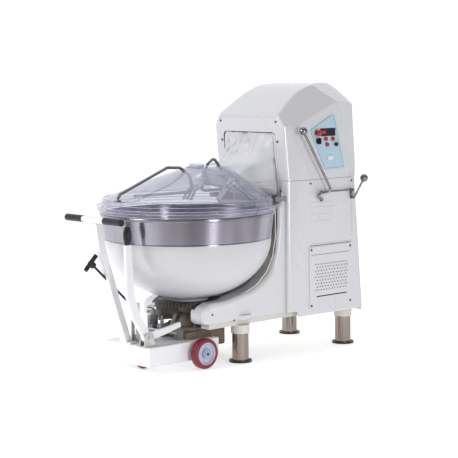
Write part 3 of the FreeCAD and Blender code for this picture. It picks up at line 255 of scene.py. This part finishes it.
def cloth_white():
    """Coated woven cloth: fine crossed threads, a soft sheen and faint blotches."""
    paint = Paint("gaiter_cloth", (0.64, 0.64, 0.67), 0.62, Sheen_Weight=0.35,
                  Sheen_Roughness=0.4)
    paint.tint(paint.ranged(paint.noise(9.0, detail=5.0), 0.0, 1.0, 0.4, 0.75),
               (0.55, 0.55, 0.6))
    weave = paint.node("ShaderNodeMath", operation="ADD")
    for socket, direction in ((0, (1, 0, 1)), (1, (0, 1, 1))):
        wave = paint.node("ShaderNodeTexWave")
        wave.inputs["Scale"].default_value = 260.0
        wave.inputs["Distortion"].default_value = 1.2
        paint.link(paint.stretched(direction), wave.inputs["Vector"])
        paint.link(wave.outputs["Fac"], weave.inputs[socket])
    paint.bump(weave.outputs["Value"], 0.12, 0.0004)
    paint.bump(paint.noise(45.0, detail=5.0), 0.25, 0.002)
    return paint


def round_brushed(paint):
    """Grain that runs round the bowl, so that highlights stand upright on the wall."""
    tangent = paint.node("ShaderNodeTangent", direction_type="RADIAL", axis="Z")
    paint.link(tangent.outputs["Tangent"], paint.shader.inputs["Tangent"])


LID_SPLIT_Y = 76                          # the lid's hinge line
HINGE_PLACE, HINGE_REACH = at(0, LID_SPLIT_Y, 1172), 0.0735    # the leaf on the lid's crown
BLUR = 0.004                              # how far the leaf's edge fades, in metres


def moulded_near(paint, place, radius, colour):
    """Pale moulded plastic instead of metal, within a distance of a place."""
    away = paint.node("ShaderNodeVectorMath", operation="DISTANCE")
    away.inputs[1].default_value = place
    paint.link(paint.place, away.inputs[0])
    base = paint.shader.inputs["Base Color"]
    inner = base.links[0].from_socket
    start = radius - BLUR
    near = paint.ranged(away.outputs["Value"], 1.0, 0.0, start, radius)
    paint.link(paint.mix(near, inner, colour), base)
    paint.link(paint.ranged(away.outputs["Value"], 0.0, 1.0, start, radius),
               paint.shader.inputs["Metallic"])


def painted_reflection_streak(paint, dark, bright, scale, start, end):
    """Lighter and darker stripes up a brushed wall: painted reflections multiplied into the colour.
    """
    inner = paint.shader.inputs["Base Color"].links[0].from_socket
    reflection_bands = paint.noise(scale, (1, 1, 0.03), detail=1.5)
    lit = paint.mix(paint.ranged(reflection_bands, 0.0, 1.0, start, end), dark, bright)
    blend = paint.node("ShaderNodeMix", data_type="RGBA", blend_type="MULTIPLY")
    blend.inputs["Factor"].default_value = 1.0
    colours = [s for s in blend.inputs if s.type == "RGBA"]
    paint.link(inner, colours[0])
    paint.link(lit, colours[1])
    out = [s for s in blend.outputs if s.type == "RGBA"][0]
    paint.link(out, paint.shader.inputs["Base Color"])


round_brushed(BAND)
# painted reflection: upright bright and dark bands laid into the steel band's colour
painted_reflection_streak(BAND, (1.25, 1.25, 1.25), (0.72, 0.7, 0.71), 5.2, 0.44, 0.68)
LID = clear_lid()
CLOTH = cloth_white()
moulded_near(BAR, HINGE_PLACE, HINGE_REACH, (0.6, 0.6, 0.72))
BLACK.shader.inputs["Specular IOR Level"].default_value = 0.25    # duller than bare plastic

NODE_PAINT = {
    "hood": SHELL, "front_panel": SHELL, "side_cover_right": SHELL, "side_cover_left": SHELL,
    "rear_cover": SHELL, "vent_panel": SHELL, "cradle_liner": LINER, "casing_screws": SCREW,
    "control_panel": PANEL, "display_window": LENS, "control_bezels": ZINC,
    "stop_button": RED, "selector_knob": BLACK, "button_start_slow": RED,
    "button_start_fast": RED, "button_bowl_jog": RED, "button_stop": BLACK,
    "chassis_frame": FRAME, "column_frame": FRAME, "leg_tubes": LEG, "foot_flanges": FOOT,
    "gearbox_housing": GREY_CAST, "gearbox_pulley": TURNED, "motor": MOTOR,
    "motor_pulley": TURNED, "drive_belts": BELT, "rocker_shaft": TURNED, "arm_right": ARM,
    "arm_left": ARM, "tool_spade": ARM, "tool_fork": ARM, "drive_crank": TURNED,
    "connecting_links": TURNED, "gaiter_drape": CLOTH, "gaiter_sleeves": CLOTH,
    "bowl_shell": ENAMEL, "bowl_band": BAND, "bowl_ring_gear": GEAR,
    "bowl_drive_pinion": TURNED, "bowl_drive_housing": GREY_CAST, "lid_front": LID,
    "lid_rear": LID, "lid_front_handle": BAR, "lid_rear_brackets": BAR,
    "trolley_box": TROLLEY, "bearing_pedestal": PEDESTAL, "trolley_post": TROLLEY,
    "handle_grips": BLACK, "lock_screw": BLACK, "trolley_brackets": ZINC,
    "latch_lever": TROLLEY, "latch_knob": BLACK, "wheel_axle": TURNED, "wheel_tyres": TYRE,
    "wheel_hubs": NYLON, "caster_fork": ZINC, "caster_wheel": TYRE, "long_lever": CHROME,
    "short_lever": CHROME, "lever_link": CHROME}


def paint_nodes():
    for name, paint in NODE_PAINT.items():
        node = NODES[name]
        node.data.materials.clear()
        node.data.materials.append(paint.material)


paint_nodes()


# ---- building pieces ------------------------------------------------------------------------
def piece(name, points, faces, paint, body, smooth=True):
    """A mesh of our own, riding on a body and painted with the given finish."""
    mesh = bpy.data.meshes.new(name)
    mesh.from_pydata([tuple(p) for p in points], [], faces)
    mesh.update()
    obj = bpy.data.objects.new(name, mesh)
    bpy.context.scene.collection.objects.link(obj)
    mesh.materials.append(paint.material)
    if smooth:
        mesh.shade_smooth()
    if body:
        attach(obj, body)
    return obj


class Shape:
    """Collects simple solids, in millimetres about the bowl's axis."""

    def __init__(self):
        self.points, self.faces = [], []

    def add(self, points, faces):
        base = len(self.points)
        self.points += [at(*p) for p in points]
        self.faces += [[base + i for i in face] for face in faces]

    def block(self, x0, x1, y0, y1, z0, z1):
        corners = [(x, y, z) for z in (z0, z1) for x, y in ((x0, y0), (x1, y0), (x1, y1), (x0, y1))]
        self.add(corners, [(3, 2, 1, 0), (4, 5, 6, 7), (0, 1, 5, 4), (1, 2, 6, 5), (2, 3, 7, 6),
                           (3, 0, 4, 7)])

    def turned(self, place, axis, profile, sides=24):
        """A profile of (radius, distance) turned about an axis through a place."""
        axis = Vector(axis).normalized()
        side = axis.orthogonal().normalized()
        other = axis.cross(side)
        place = Vector(place)
        points, faces = [], []
        for radius, along in profile:
            for i in range(sides):
                angle = 2 * math.pi * i / sides
                points.append(place + axis * along
                              + (side * math.cos(angle) + other * math.sin(angle)) * radius)
        for ring in range(len(profile) - 1):
            for i in range(sides):
                j = (i + 1) % sides
                low, high = ring * sides, (ring + 1) * sides
                faces.append((low + i, low + j, high + j, high + i))
        faces.append(tuple(range(sides - 1, -1, -1)))
        last = (len(profile) - 1) * sides
        faces.append(tuple(range(last, last + sides)))
        self.add(points, faces)

    def bolt(self, place, axis, radius, height):
        """A hexagon head on a round washer."""
        self.turned(place, axis, [(radius * 1.35, 0), (radius * 1.35, height * 0.2)], 20)
        self.turned(place, axis, [(radius, 0), (radius, height * 0.9), (radius * 0.86, height)], 6)

    def piece(self, name, paint, body, slot, round_edges=0.0):
        obj = piece(name, self.points, self.faces, paint, body, smooth=False)
        if round_edges:
            bevel = obj.modifiers.new("edges", "BEVEL")
            bevel.width, bevel.segments, bevel.limit_method = round_edges * MM, 3, "ANGLE"
            obj.data.shade_smooth()
        return obj


def wire(name, rails, radius, paint, body):
    """Round bars along lines of points, in millimetres about the bowl's axis."""
    curve = bpy.data.curves.new(name, "CURVE")
    curve.dimensions, curve.bevel_depth, curve.bevel_resolution = "3D", radius * MM, 3
    for rail in rails:
        spline = curve.splines.new("POLY")
        spline.points.add(len(rail) - 1)
        for point, place in zip(spline.points, rail):
            point.co = (*at(*place), 1)
    curve.materials.append(paint.material)
    obj = bpy.data.objects.new(name, curve)
    bpy.context.scene.collection.objects.link(obj)
    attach(obj, body)
    return obj


# ---- gaiter ---------------------------------------------------------------------------------
GAITER_LEFT, GAITER_RIGHT = -232.0, 216.0
GAITER_TOP, GAITER_FOOT = 1352.0, 966.0
ARM_LINE = [(560, 1112), (380, 1116), (285, 1084)]   # what the cloth lies on, (y, z)
ARM_AT, ARM_HALF = 130.0, 34.0
GAITER_REACH = [(1352, 0), (1310, 16), (1260, 38), (1210, 68), (1175, 112), (1154, 172),
                (1132, 232), (1110, 264), (1080, 266), (1045, 216), (1018, 120), (992, 34),
                (966, 8)]
GAITER_COLUMNS, GAITER_ROWS = 96, 84
GAITER_SLACK = 0.07          # how much more cloth there is than the opening needs
GAITER_STEPS = 34
FOLD_FAN = (-150.0, 1120.0)  # folds spread from here, x and z
FOLDS, FOLD_DEPTH, CRUMPLE_DEPTH = 15, 9.0, 16.0
CREASE, CREASE_WIDTH = 38.0, 0.32
CREASE_SPREAD, CREASE_BEND, CREASE_SEED = 4.2, 0.008, 7.7    # they run where this noise is near 0
FOLD_START, CREASE_START = 120.0, 110.0    # they reach full height this far from the fan's point
PIN_FADE = 9                 # creases die out over this many rows of the mesh
FRONT_AT_HOOD, HOOD_FOOT, FRONT_LEAN = 531.0, 1064.0, 0.1063
WALL_GAP = 12.0              # the cloth's edge stands this far behind the wall's face


def wall_y(z):
    """The leaning front wall of the casing."""
    return FRONT_AT_HOOD - FRONT_LEAN * (z - HOOD_FOOT)


def reach_at(z):
    """How far the cloth stands out at a height."""
    for (z_high, reach_high), (z_low, reach_low) in zip(GAITER_REACH, GAITER_REACH[1:]):
        if z >= z_low:
            share = (z_high - z) / (z_high - z_low)
            return reach_high + (reach_low - reach_high) * share
    return GAITER_REACH[-1][1]


def gaiter_point(u, v):
    """A point of the cloth before it settles: it bulges out over the arms, fuller on the right."""
    x = GAITER_LEFT + (GAITER_RIGHT - GAITER_LEFT) * u
    z = GAITER_TOP + (GAITER_FOOT - GAITER_TOP) * v
    across = 1 - abs(2 * u - 1) ** (8 if u > 0.5 else 4)
    fan = math.atan2(z - FOLD_FAN[1], x - FOLD_FAN[0])
    away = math.hypot(x - FOLD_FAN[0], z - FOLD_FAN[1])
    fold = FOLD_DEPTH * math.sin(FOLDS * fan + 0.01 * away) * min(1.0, away / FOLD_START) * across
    crumple = CRUMPLE_DEPTH * noise.noise(Vector((x * 0.013, z * 0.017, 4.2))) * across
    return x, wall_y(z) + WALL_GAP - reach_at(z) * across + fold + crumple, z


def make_gaiter():
    """The cloth boot round the arms, pinned to the mouth's edge and let settle."""
    columns, rows = GAITER_COLUMNS, GAITER_ROWS
    points = [at(*gaiter_point(i / columns, j / rows))
              for j in range(rows + 1) for i in range(columns + 1)]
    faces = []
    for j in range(rows):
        for i in range(columns):
            a = j * (columns + 1) + i
            faces.append((a, a + columns + 1, a + columns + 2, a + 1))
    cloth = piece("gaiter_cover", points, faces, CLOTH, None)
    pins = cloth.vertex_groups.new(name="pins")
    edge = [j * (columns + 1) + i for j in range(rows + 1) for i in range(columns + 1)
            if i in (0, columns) or j in (0, rows)]
    pins.add(edge, 1.0, "REPLACE")
    stops = [arm_stop(side * ARM_AT) for side in (1, -1)]
    settle(cloth)
    for stop in stops:
        bpy.data.objects.remove(stop, do_unlink=True)
    crease(cloth)
    thick = cloth.modifiers.new("thickness", "SOLIDIFY")
    thick.thickness = 1.2 * MM
    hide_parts("gaiter_drape")
    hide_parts("gaiter_sleeves")
    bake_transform(cloth)


def crease(cloth):
    """Sharp ridges that run away from the pulled corner and fade out at the pinned edge."""
    columns, rows = GAITER_COLUMNS, GAITER_ROWS
    for index, vertex in enumerate(cloth.data.vertices):
        i, j = index % (columns + 1), index // (columns + 1)
        fade = min(1.0, min(i, columns - i, j, rows - j) / PIN_FADE)
        across, up = vertex.co.x / MM - FOLD_FAN[0], vertex.co.z / MM - FOLD_FAN[1]
        away = math.hypot(across, up)
        flow = Vector((math.atan2(up, across) * CREASE_SPREAD, away * CREASE_BEND, CREASE_SEED))
        rise = max(0.0, CREASE_WIDTH - abs(noise.noise(flow)))
        vertex.co.y -= CREASE * MM * rise * fade * min(1.0, away / CREASE_START)


def arm_stop(x):
    """A throwaway bar in an arm's place, for the cloth to lie on."""
    corners, faces = [], []
    for y, z in ARM_LINE:
        corners += [at(x + i * ARM_HALF, y, z + k * ARM_HALF)
                    for i, k in ((-1, -1), (1, -1), (1, 1), (-1, 1))]
    for j in range(len(ARM_LINE) - 1):
        for i in range(4):
            k = (i + 1) % 4
            faces.append((4 * j + i, 4 * j + k, 4 * j + 4 + k, 4 * j + 4 + i))
    faces += [(3, 2, 1, 0), tuple(range(len(corners) - 4, len(corners)))]
    mesh = bpy.data.meshes.new("stop")
    mesh.from_pydata(corners, [], faces)
    stop = bpy.data.objects.new("stop", mesh)
    bpy.context.scene.collection.objects.link(stop)
    stop.modifiers.new("hit", "COLLISION")
    stop.collision.thickness_outer = 0.006
    return stop


def settle(cloth):
    """Run the cloth simulation and keep its last shape."""
    sim = cloth.modifiers.new("cloth", "CLOTH")
    sim.settings.quality = 7
    sim.settings.mass = 0.25
    sim.settings.tension_stiffness = sim.settings.compression_stiffness = 22
    sim.settings.bending_stiffness = 0.35
    sim.settings.shrink_min = -GAITER_SLACK
    sim.settings.vertex_group_mass = "pins"
    sim.settings.effector_weights.gravity = 0.5
    sim.collision_settings.use_self_collision = False
    sim.point_cache.frame_start, sim.point_cache.frame_end = 1, GAITER_STEPS
    scene = bpy.context.scene
    for step in range(1, GAITER_STEPS + 1):
        scene.frame_set(step)
    settled = cloth.evaluated_get(bpy.context.evaluated_depsgraph_get())
    places = [vertex.co.copy() for vertex in settled.data.vertices]
    cloth.modifiers.remove(sim)
    for vertex, place in zip(cloth.data.vertices, places):
        vertex.co = place
    scene.frame_set(1)


make_gaiter()


BORDER_FOOT, BORDER_TOP = 965, 1340
BORDER_STEP = 25             # the border follows the leaning wall in steps of this height
TEETH, TOOTH_PITCH = 16, 7.5
TOP_TOOTH = (214, 1196)      # x and z


def make_gaiter_trim():
    """The moulded border on the cloth's right, and the closure in the cloth beside it."""
    border = Shape()
    for z in range(BORDER_FOOT, BORDER_TOP, BORDER_STEP):
        y = wall_y(z + BORDER_STEP / 2)
        border.block(217, 235, y - 1.5, y + 5, z, z + BORDER_STEP)
    border.piece("gaiter_border", SHELL, "machine", "white_shell")
    teeth = Shape()
    for i in range(TEETH):
        x, z = TOP_TOOTH[0] - i, TOP_TOOTH[1] - TOOTH_PITCH * i
        teeth.block(x - 4, x + 4, wall_y(z) - 12 - 0.4 * i, wall_y(z) - 4, z - 2.4, z + 2.4)
    teeth.piece("gaiter_closure", ZINC, "machine", "zinc_hardware")


make_gaiter_trim()


# ---- small parts of the casing --------------------------------------------------------------
ROOT = 2.0                    # raised lines start this deep in the cover
RIDGE_WIDTH, RIDGE_RISE = 3.0, 1.6


def ridge(shape, y0, y1, z0, z1):
    """A raised line on the right cover, round the edge of a rectangle."""
    width = RIDGE_WIDTH
    for a, b, c, d in ((y0, y1, z0, z0 + width), (y0, y1, z1 - width, z1),
                       (y0, y0 + width, z0 + width, z1 - width),
                       (y1 - width, y1, z0 + width, z1 - width)):
        shape.block(FACE - ROOT, FACE + RIDGE_RISE, a, b, c, d)


def make_casing_details():
    """Moulded lines on the right cover, a black sheet behind its vent holes as painted shade for
    the dark inside, and dark seam lines.
    """
    lines = Shape()
    for z0, z1 in ((890, 922), (806, 848)):
        ridge(lines, 702, 900, z0, z1)
    for rise, y0, y1, z0, z1 in ((2.2, 1060, 1064, 690, 930), (2.2, 1071, 1075, 690, 930),
                                 (3.0, 700, 1072, 660, 666)):
        lines.block(FACE - ROOT, FACE + rise, y0, y1, z0, z1)
    lines.piece("cover_ribs", SHELL, "machine", "white_shell", round_edges=1.2)
    # painted shade: a black sheet behind the vent holes stands for the dark inside of the casing
    vent_shade = Shape()
    vent_shade.block(FACE - 16, FACE - 13, 722, 1042, 300, 560)
    vent_shade.piece("vent_painted_shade", BLACK, "machine", "black_plastic")
    seams = Shape()
    for rise, y0, y1, z0, z1 in ((0.7, 702, 1060, 655, 658), (6.0, 708, 1044, 598, 600)):
        seams.block(FACE - ROOT, FACE + rise, y0, y1, z0, z1)
    seams.piece("cover_seams", BLACK, "machine", "black_plastic")


GLYPH_SEGMENTS = {"0": "abcdef", "1": "bc", "5": "acdfg"}
GLYPH_SIZE = 9.0, 17.0, 2.2             # width, height and bar
FIRST_DIGIT, DIGIT_PITCH = (797.0, 1340.0), 14.0
BADGE_Y, BADGE_Z, BADGE_R, BADGE_FLAT = 875, 1189, 26, 0.62


def make_display():
    """Seven-segment digits behind the lens, and the plate of the blank badge."""
    glow = Paint("digit_glow", (0.5, 0.01, 0.01), 0.4, Emission_Strength=0.7)
    glow.shader.inputs["Emission Color"].default_value = (1.0, 0.08, 0.06, 1)
    glow.tint(glow.ranged(glow.noise(300.0), 0.0, 1.0), (0.4, 0.01, 0.01))
    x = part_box("display_window")[1].x / MM
    wide, tall, bar = GLYPH_SIZE
    digits = Shape()
    for i, digit in enumerate("105"):
        y0, z0 = FIRST_DIGIT[0] + i * DIGIT_PITCH, FIRST_DIGIT[1]
        spots = {"a": (0, wide, tall - bar, tall), "g": (0, wide, tall / 2 - 1, tall / 2 + 1),
                 "d": (0, wide, 0, bar), "f": (0, bar, tall / 2, tall),
                 "e": (0, bar, 0, tall / 2), "b": (wide - bar, wide, tall / 2, tall),
                 "c": (wide - bar, wide, 0, tall / 2)}
        for segment in GLYPH_SEGMENTS[digit]:
            a, b, c, d = spots[segment]
            digits.block(x - 0.5, x + 0.6, y0 + a, y0 + b, z0 + c, z0 + d)
    digits.piece("display_digits", glow, "machine", "display_glass")
    badge = Shape()
    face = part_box("control_panel")[1].x / MM
    badge.turned((face - 0.4, BADGE_Y, BADGE_Z), TO_RIGHT, [(BADGE_R, 0), (BADGE_R, 1.0)], 40)
    plate = badge.piece("badge_plate", WHITE, "machine", "white_plastic")
    middle = at(0, BADGE_Y, BADGE_Z)
    for vertex in plate.data.vertices:
        vertex.co.z = middle.z + (vertex.co.z - middle.z) * BADGE_FLAT


make_casing_details()
make_display()


# ---- lid beads and wheel centres ------------------------------------------------------------
def arc(radius, z, start, end, steps):
    """Points of an arc about the bowl's axis, angles in degrees from +X."""
    turns = [math.radians(start + (end - start) * i / steps) for i in range(steps + 1)]
    return [(radius * math.cos(t), radius * math.sin(t), z) for t in turns]


BEAD_R = 1.6
LID_MOUTH_X = 238            # half the width that the lid leaves open behind
BEADS = ((539.5, 942.5), (538.5, 926), (526, 906), (514, 962), (498, 986.5))    # (radius, z)
SPLIT_GAP, MOUTH_GAP = 1, 2  # degrees that a bead stops short of the split and of the mouth


def make_lid_beads():
    """The moulded steps of the clear lid, which read as bright and dark lines; the beads' darker
    tint is painted shade for those dark lines.
    """
    # painted shade: the beads are tinted darker than the clear lid to draw the dark lines of its
    # steps
    bead_shade = Paint("lid_bead_painted_shade", (0.28, 0.28, 0.4), 0.08, Coat_Weight=0.4)
    bead_shade.tint(bead_shade.ranged(bead_shade.noise(8.0), 0.0, 1.0), (0.5, 0.5, 0.62))
    bead_shade.vary_roughness(bead_shade.noise(30.0), 0.05, 0.14)
    front, rear = [], []
    for radius, z in BEADS:
        split = math.degrees(math.asin(LID_SPLIT_Y / radius))
        mouth = math.degrees(math.acos(LID_MOUTH_X / radius))
        front.append(arc(radius, z, 180 - split + SPLIT_GAP, 360 + split - SPLIT_GAP, 120))
        rear.append(arc(radius, z, split + SPLIT_GAP, mouth - MOUTH_GAP, 30))
        rear.append(arc(radius, z, 180 - mouth + MOUTH_GAP, 180 - split - SPLIT_GAP, 30))
    wire("lid_beads_front", front, BEAD_R, bead_shade, "lid")
    wire("lid_beads_rear", rear, BEAD_R, bead_shade, "machine")


WHEEL_Y, WHEEL_Z = -99.5, 90            # the wheels' axle


def make_wheel_centres():
    """A coloured ring and a bolt on the outer face of each hub."""
    low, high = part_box("wheel_hubs")
    ring = Paint("hub_ring", (0.26, 0.38, 0.56), 0.35)
    ring.tint(ring.ranged(ring.noise(60.0), 0.0, 1.0), (0.2, 0.31, 0.5))
    rings, bolts = Shape(), Shape()
    for x, way in ((high.x / MM, 1), (low.x / MM, -1)):
        outward = (way, 0, 0)
        rings.turned((x - way * 9, WHEEL_Y, WHEEL_Z), outward, [(31, 0), (31, 7), (28, 8)], 32)
        bolts.bolt((x - way * 2, WHEEL_Y, WHEEL_Z), outward, 11, 9)
    rings.piece("hub_rings", ring, "wheels", "white_plastic")
    bolts.piece("hub_bolts", SCREW, "wheels", "dark_steel")


make_lid_beads()
make_wheel_centres()


# ---- the drive under the bowl ---------------------------------------------------------------
FLANGE_BOLTS, FLANGE_BOLT_R, FLANGE_TOP = 10, 108, 214
CORNER_BOLTS, CORNER_TOP = ((-140, -135), (140, -135), (140, 110), (-140, 110)), 176
CLAMP_REAR, CLAMP_FOOT = -150, 162
BRACKET_Y = -150             # front face of the bent plate at the left
ROD_YZ = (-206, 205)         # a rod with a collar runs across in front of the bearing


def make_pedestal_details():
    """Bolts, clamps and brackets round the bowl's bearing."""
    bolts = Shape()
    for i in range(FLANGE_BOLTS):
        angle = 2 * math.pi * (i + 0.5) / FLANGE_BOLTS
        x, y = FLANGE_BOLT_R * math.cos(angle), FLANGE_BOLT_R * math.sin(angle)
        bolts.bolt((x, y, FLANGE_TOP), UP, 8, 9)
    for x, y in CORNER_BOLTS:
        bolts.bolt((x, y, CORNER_TOP), UP, 10, 10)
    bolts.piece("pedestal_bolts", ZINC, "trolley", "zinc_hardware")

    clamps = Shape()
    for x0, x1, y0, z0, z1 in ((-138, -96, -205, CLAMP_FOOT, 232), (-130, -104, -212, 232, 282),
                               (-60, -22, -196, CLAMP_FOOT, 236), (96, 132, -196, CLAMP_FOOT, 226)):
        clamps.block(x0, x1, y0, CLAMP_REAR, z0, z1)
    clamps.turned((-117, -180, 282), UP, [(15, 0), (15, 26), (9, 30), (9, 44)], 20)
    clamps.turned((-41, -172, 236), UP, [(12, 0), (12, 20), (7, 22), (7, 50)], 18)
    clamps.turned((114, -172, 226), UP, [(13, 0), (13, 22), (8, 26), (8, 40)], 18)
    clamps.piece("bearing_clamps", GREY_CAST, "trolley", "grey_cast", round_edges=2.0)

    steel = Shape()
    steel.block(-210, -150, BRACKET_Y, -138, 170, 322)
    steel.block(-210, -120, BRACKET_Y, -128, 312, 326)
    steel.turned((-196, BRACKET_Y - 2, 292), TO_FRONT, [(10, 0), (10, 5), (7, 6), (7, 16)], 18)
    steel.turned((-170, BRACKET_Y - 2, 208), TO_FRONT, [(9, 0), (9, 5), (6, 6), (6, 14)], 18)
    steel.turned((-60, *ROD_YZ), TO_RIGHT, [(7, -90), (7, 190)], 14)
    steel.turned((-8, *ROD_YZ), TO_RIGHT, [(14, 0), (14, 30)], 18)
    steel.piece("bearing_brackets", ZINC, "trolley", "zinc_hardware", round_edges=1.5)


make_pedestal_details()


# ---- stage and light ------------------------------------------------------------------------
BACKDROP_WAY = (-0.74, 0.67, 0.0)      # the backdrop stands on this side of the object
BACKDROP_LIGHT, ROOM_LIGHT = 1.15, 0.44
FLOOR_GLOW = 0.5
FLOOR_FADE = (-3.4, -2.2)              # the white floor ends between these, along that way
FLOOR_HALF = 14.0
BACKDROP_EDGE = (0.1, 0.75)            # cosines between which the backdrop brightens
LAMPS = (                              # name, place, target, size in metres and watts
    ("key", (-2.0, -5.6, 3.6), (0.0, 0.0, 0.8), (2.4, 2.4), 265),
    ("strip", (5.55, -0.95, 1.1), (0.0, -0.2, 0.8), (0.8, 2.0), 95),
    ("top", (0.2, 0.2, 5.4), (0.0, 0.0, 0.8), (3.0, 3.0), 20))


def make_stage():
    """A floor that glows white round the object and fades to grey towards the camera."""
    mesh = bpy.data.meshes.new("floor")
    half = FLOOR_HALF
    mesh.from_pydata([(-half, -half, 0), (half, -half, 0), (half, half, 0), (-half, half, 0)],
                     [], [(0, 1, 2, 3)])
    floor = bpy.data.objects.new("floor", mesh)
    bpy.context.scene.collection.objects.link(floor)
    paint = Paint("floor", (0.9, 0.9, 0.9), 0.8, Emission_Strength=FLOOR_GLOW)
    away = paint.node("ShaderNodeVectorMath", operation="DOT_PRODUCT")
    away.inputs[1].default_value = BACKDROP_WAY
    paint.link(paint.place, away.inputs[0])
    near = paint.ranged(away.outputs["Value"], 0.0, 1.0, *FLOOR_FADE)
    paint.tint(near, (0.9, 0.9, 0.9), (0.35, 0.35, 0.36))
    paint.link(paint.mix(near, (0.03, 0.03, 0.03), (1.0, 1.0, 1.0)),
               paint.shader.inputs["Emission Color"])
    mesh.materials.append(paint.material)


def area_light(name, place, target, size, power):
    """A rectangular lamp that faces a target."""
    data = bpy.data.lights.new(name, "AREA")
    data.shape, data.size, data.size_y = "RECTANGLE", size[0], size[1]
    data.energy = power
    lamp = bpy.data.objects.new(name, data)
    bpy.context.scene.collection.objects.link(lamp)
    lamp.location = place
    direction = Vector(target) - Vector(place)
    lamp.rotation_mode = "QUATERNION"
    lamp.rotation_quaternion = direction.to_track_quat("-Z", "Y")


def make_light():
    """A white backdrop behind the object, a dimmer room, and three lamps."""
    world = bpy.data.worlds.new("studio")
    world.use_nodes = True
    nodes, links = world.node_tree.nodes, world.node_tree.links
    place = nodes.new("ShaderNodeTexCoord")
    aim = nodes.new("ShaderNodeVectorMath")
    aim.operation = "DOT_PRODUCT"
    aim.inputs[1].default_value = BACKDROP_WAY
    span = nodes.new("ShaderNodeMapRange")
    span.interpolation_type = "SMOOTHSTEP"
    for socket, number in (("From Min", BACKDROP_EDGE[0]), ("From Max", BACKDROP_EDGE[1]),
                           ("To Min", ROOM_LIGHT), ("To Max", BACKDROP_LIGHT)):
        span.inputs[socket].default_value = number
    links.new(place.outputs["Generated"], aim.inputs[0])
    links.new(aim.outputs["Value"], span.inputs["Value"])
    links.new(span.outputs["Result"], nodes["Background"].inputs["Strength"])
    nodes["Background"].inputs["Color"].default_value = (0.97, 0.98, 1.0, 1)
    bpy.context.scene.world = world
    for lamp in LAMPS:
        area_light(*lamp)
    bpy.context.scene.view_settings.view_transform = "Standard"


make_stage()
make_light()
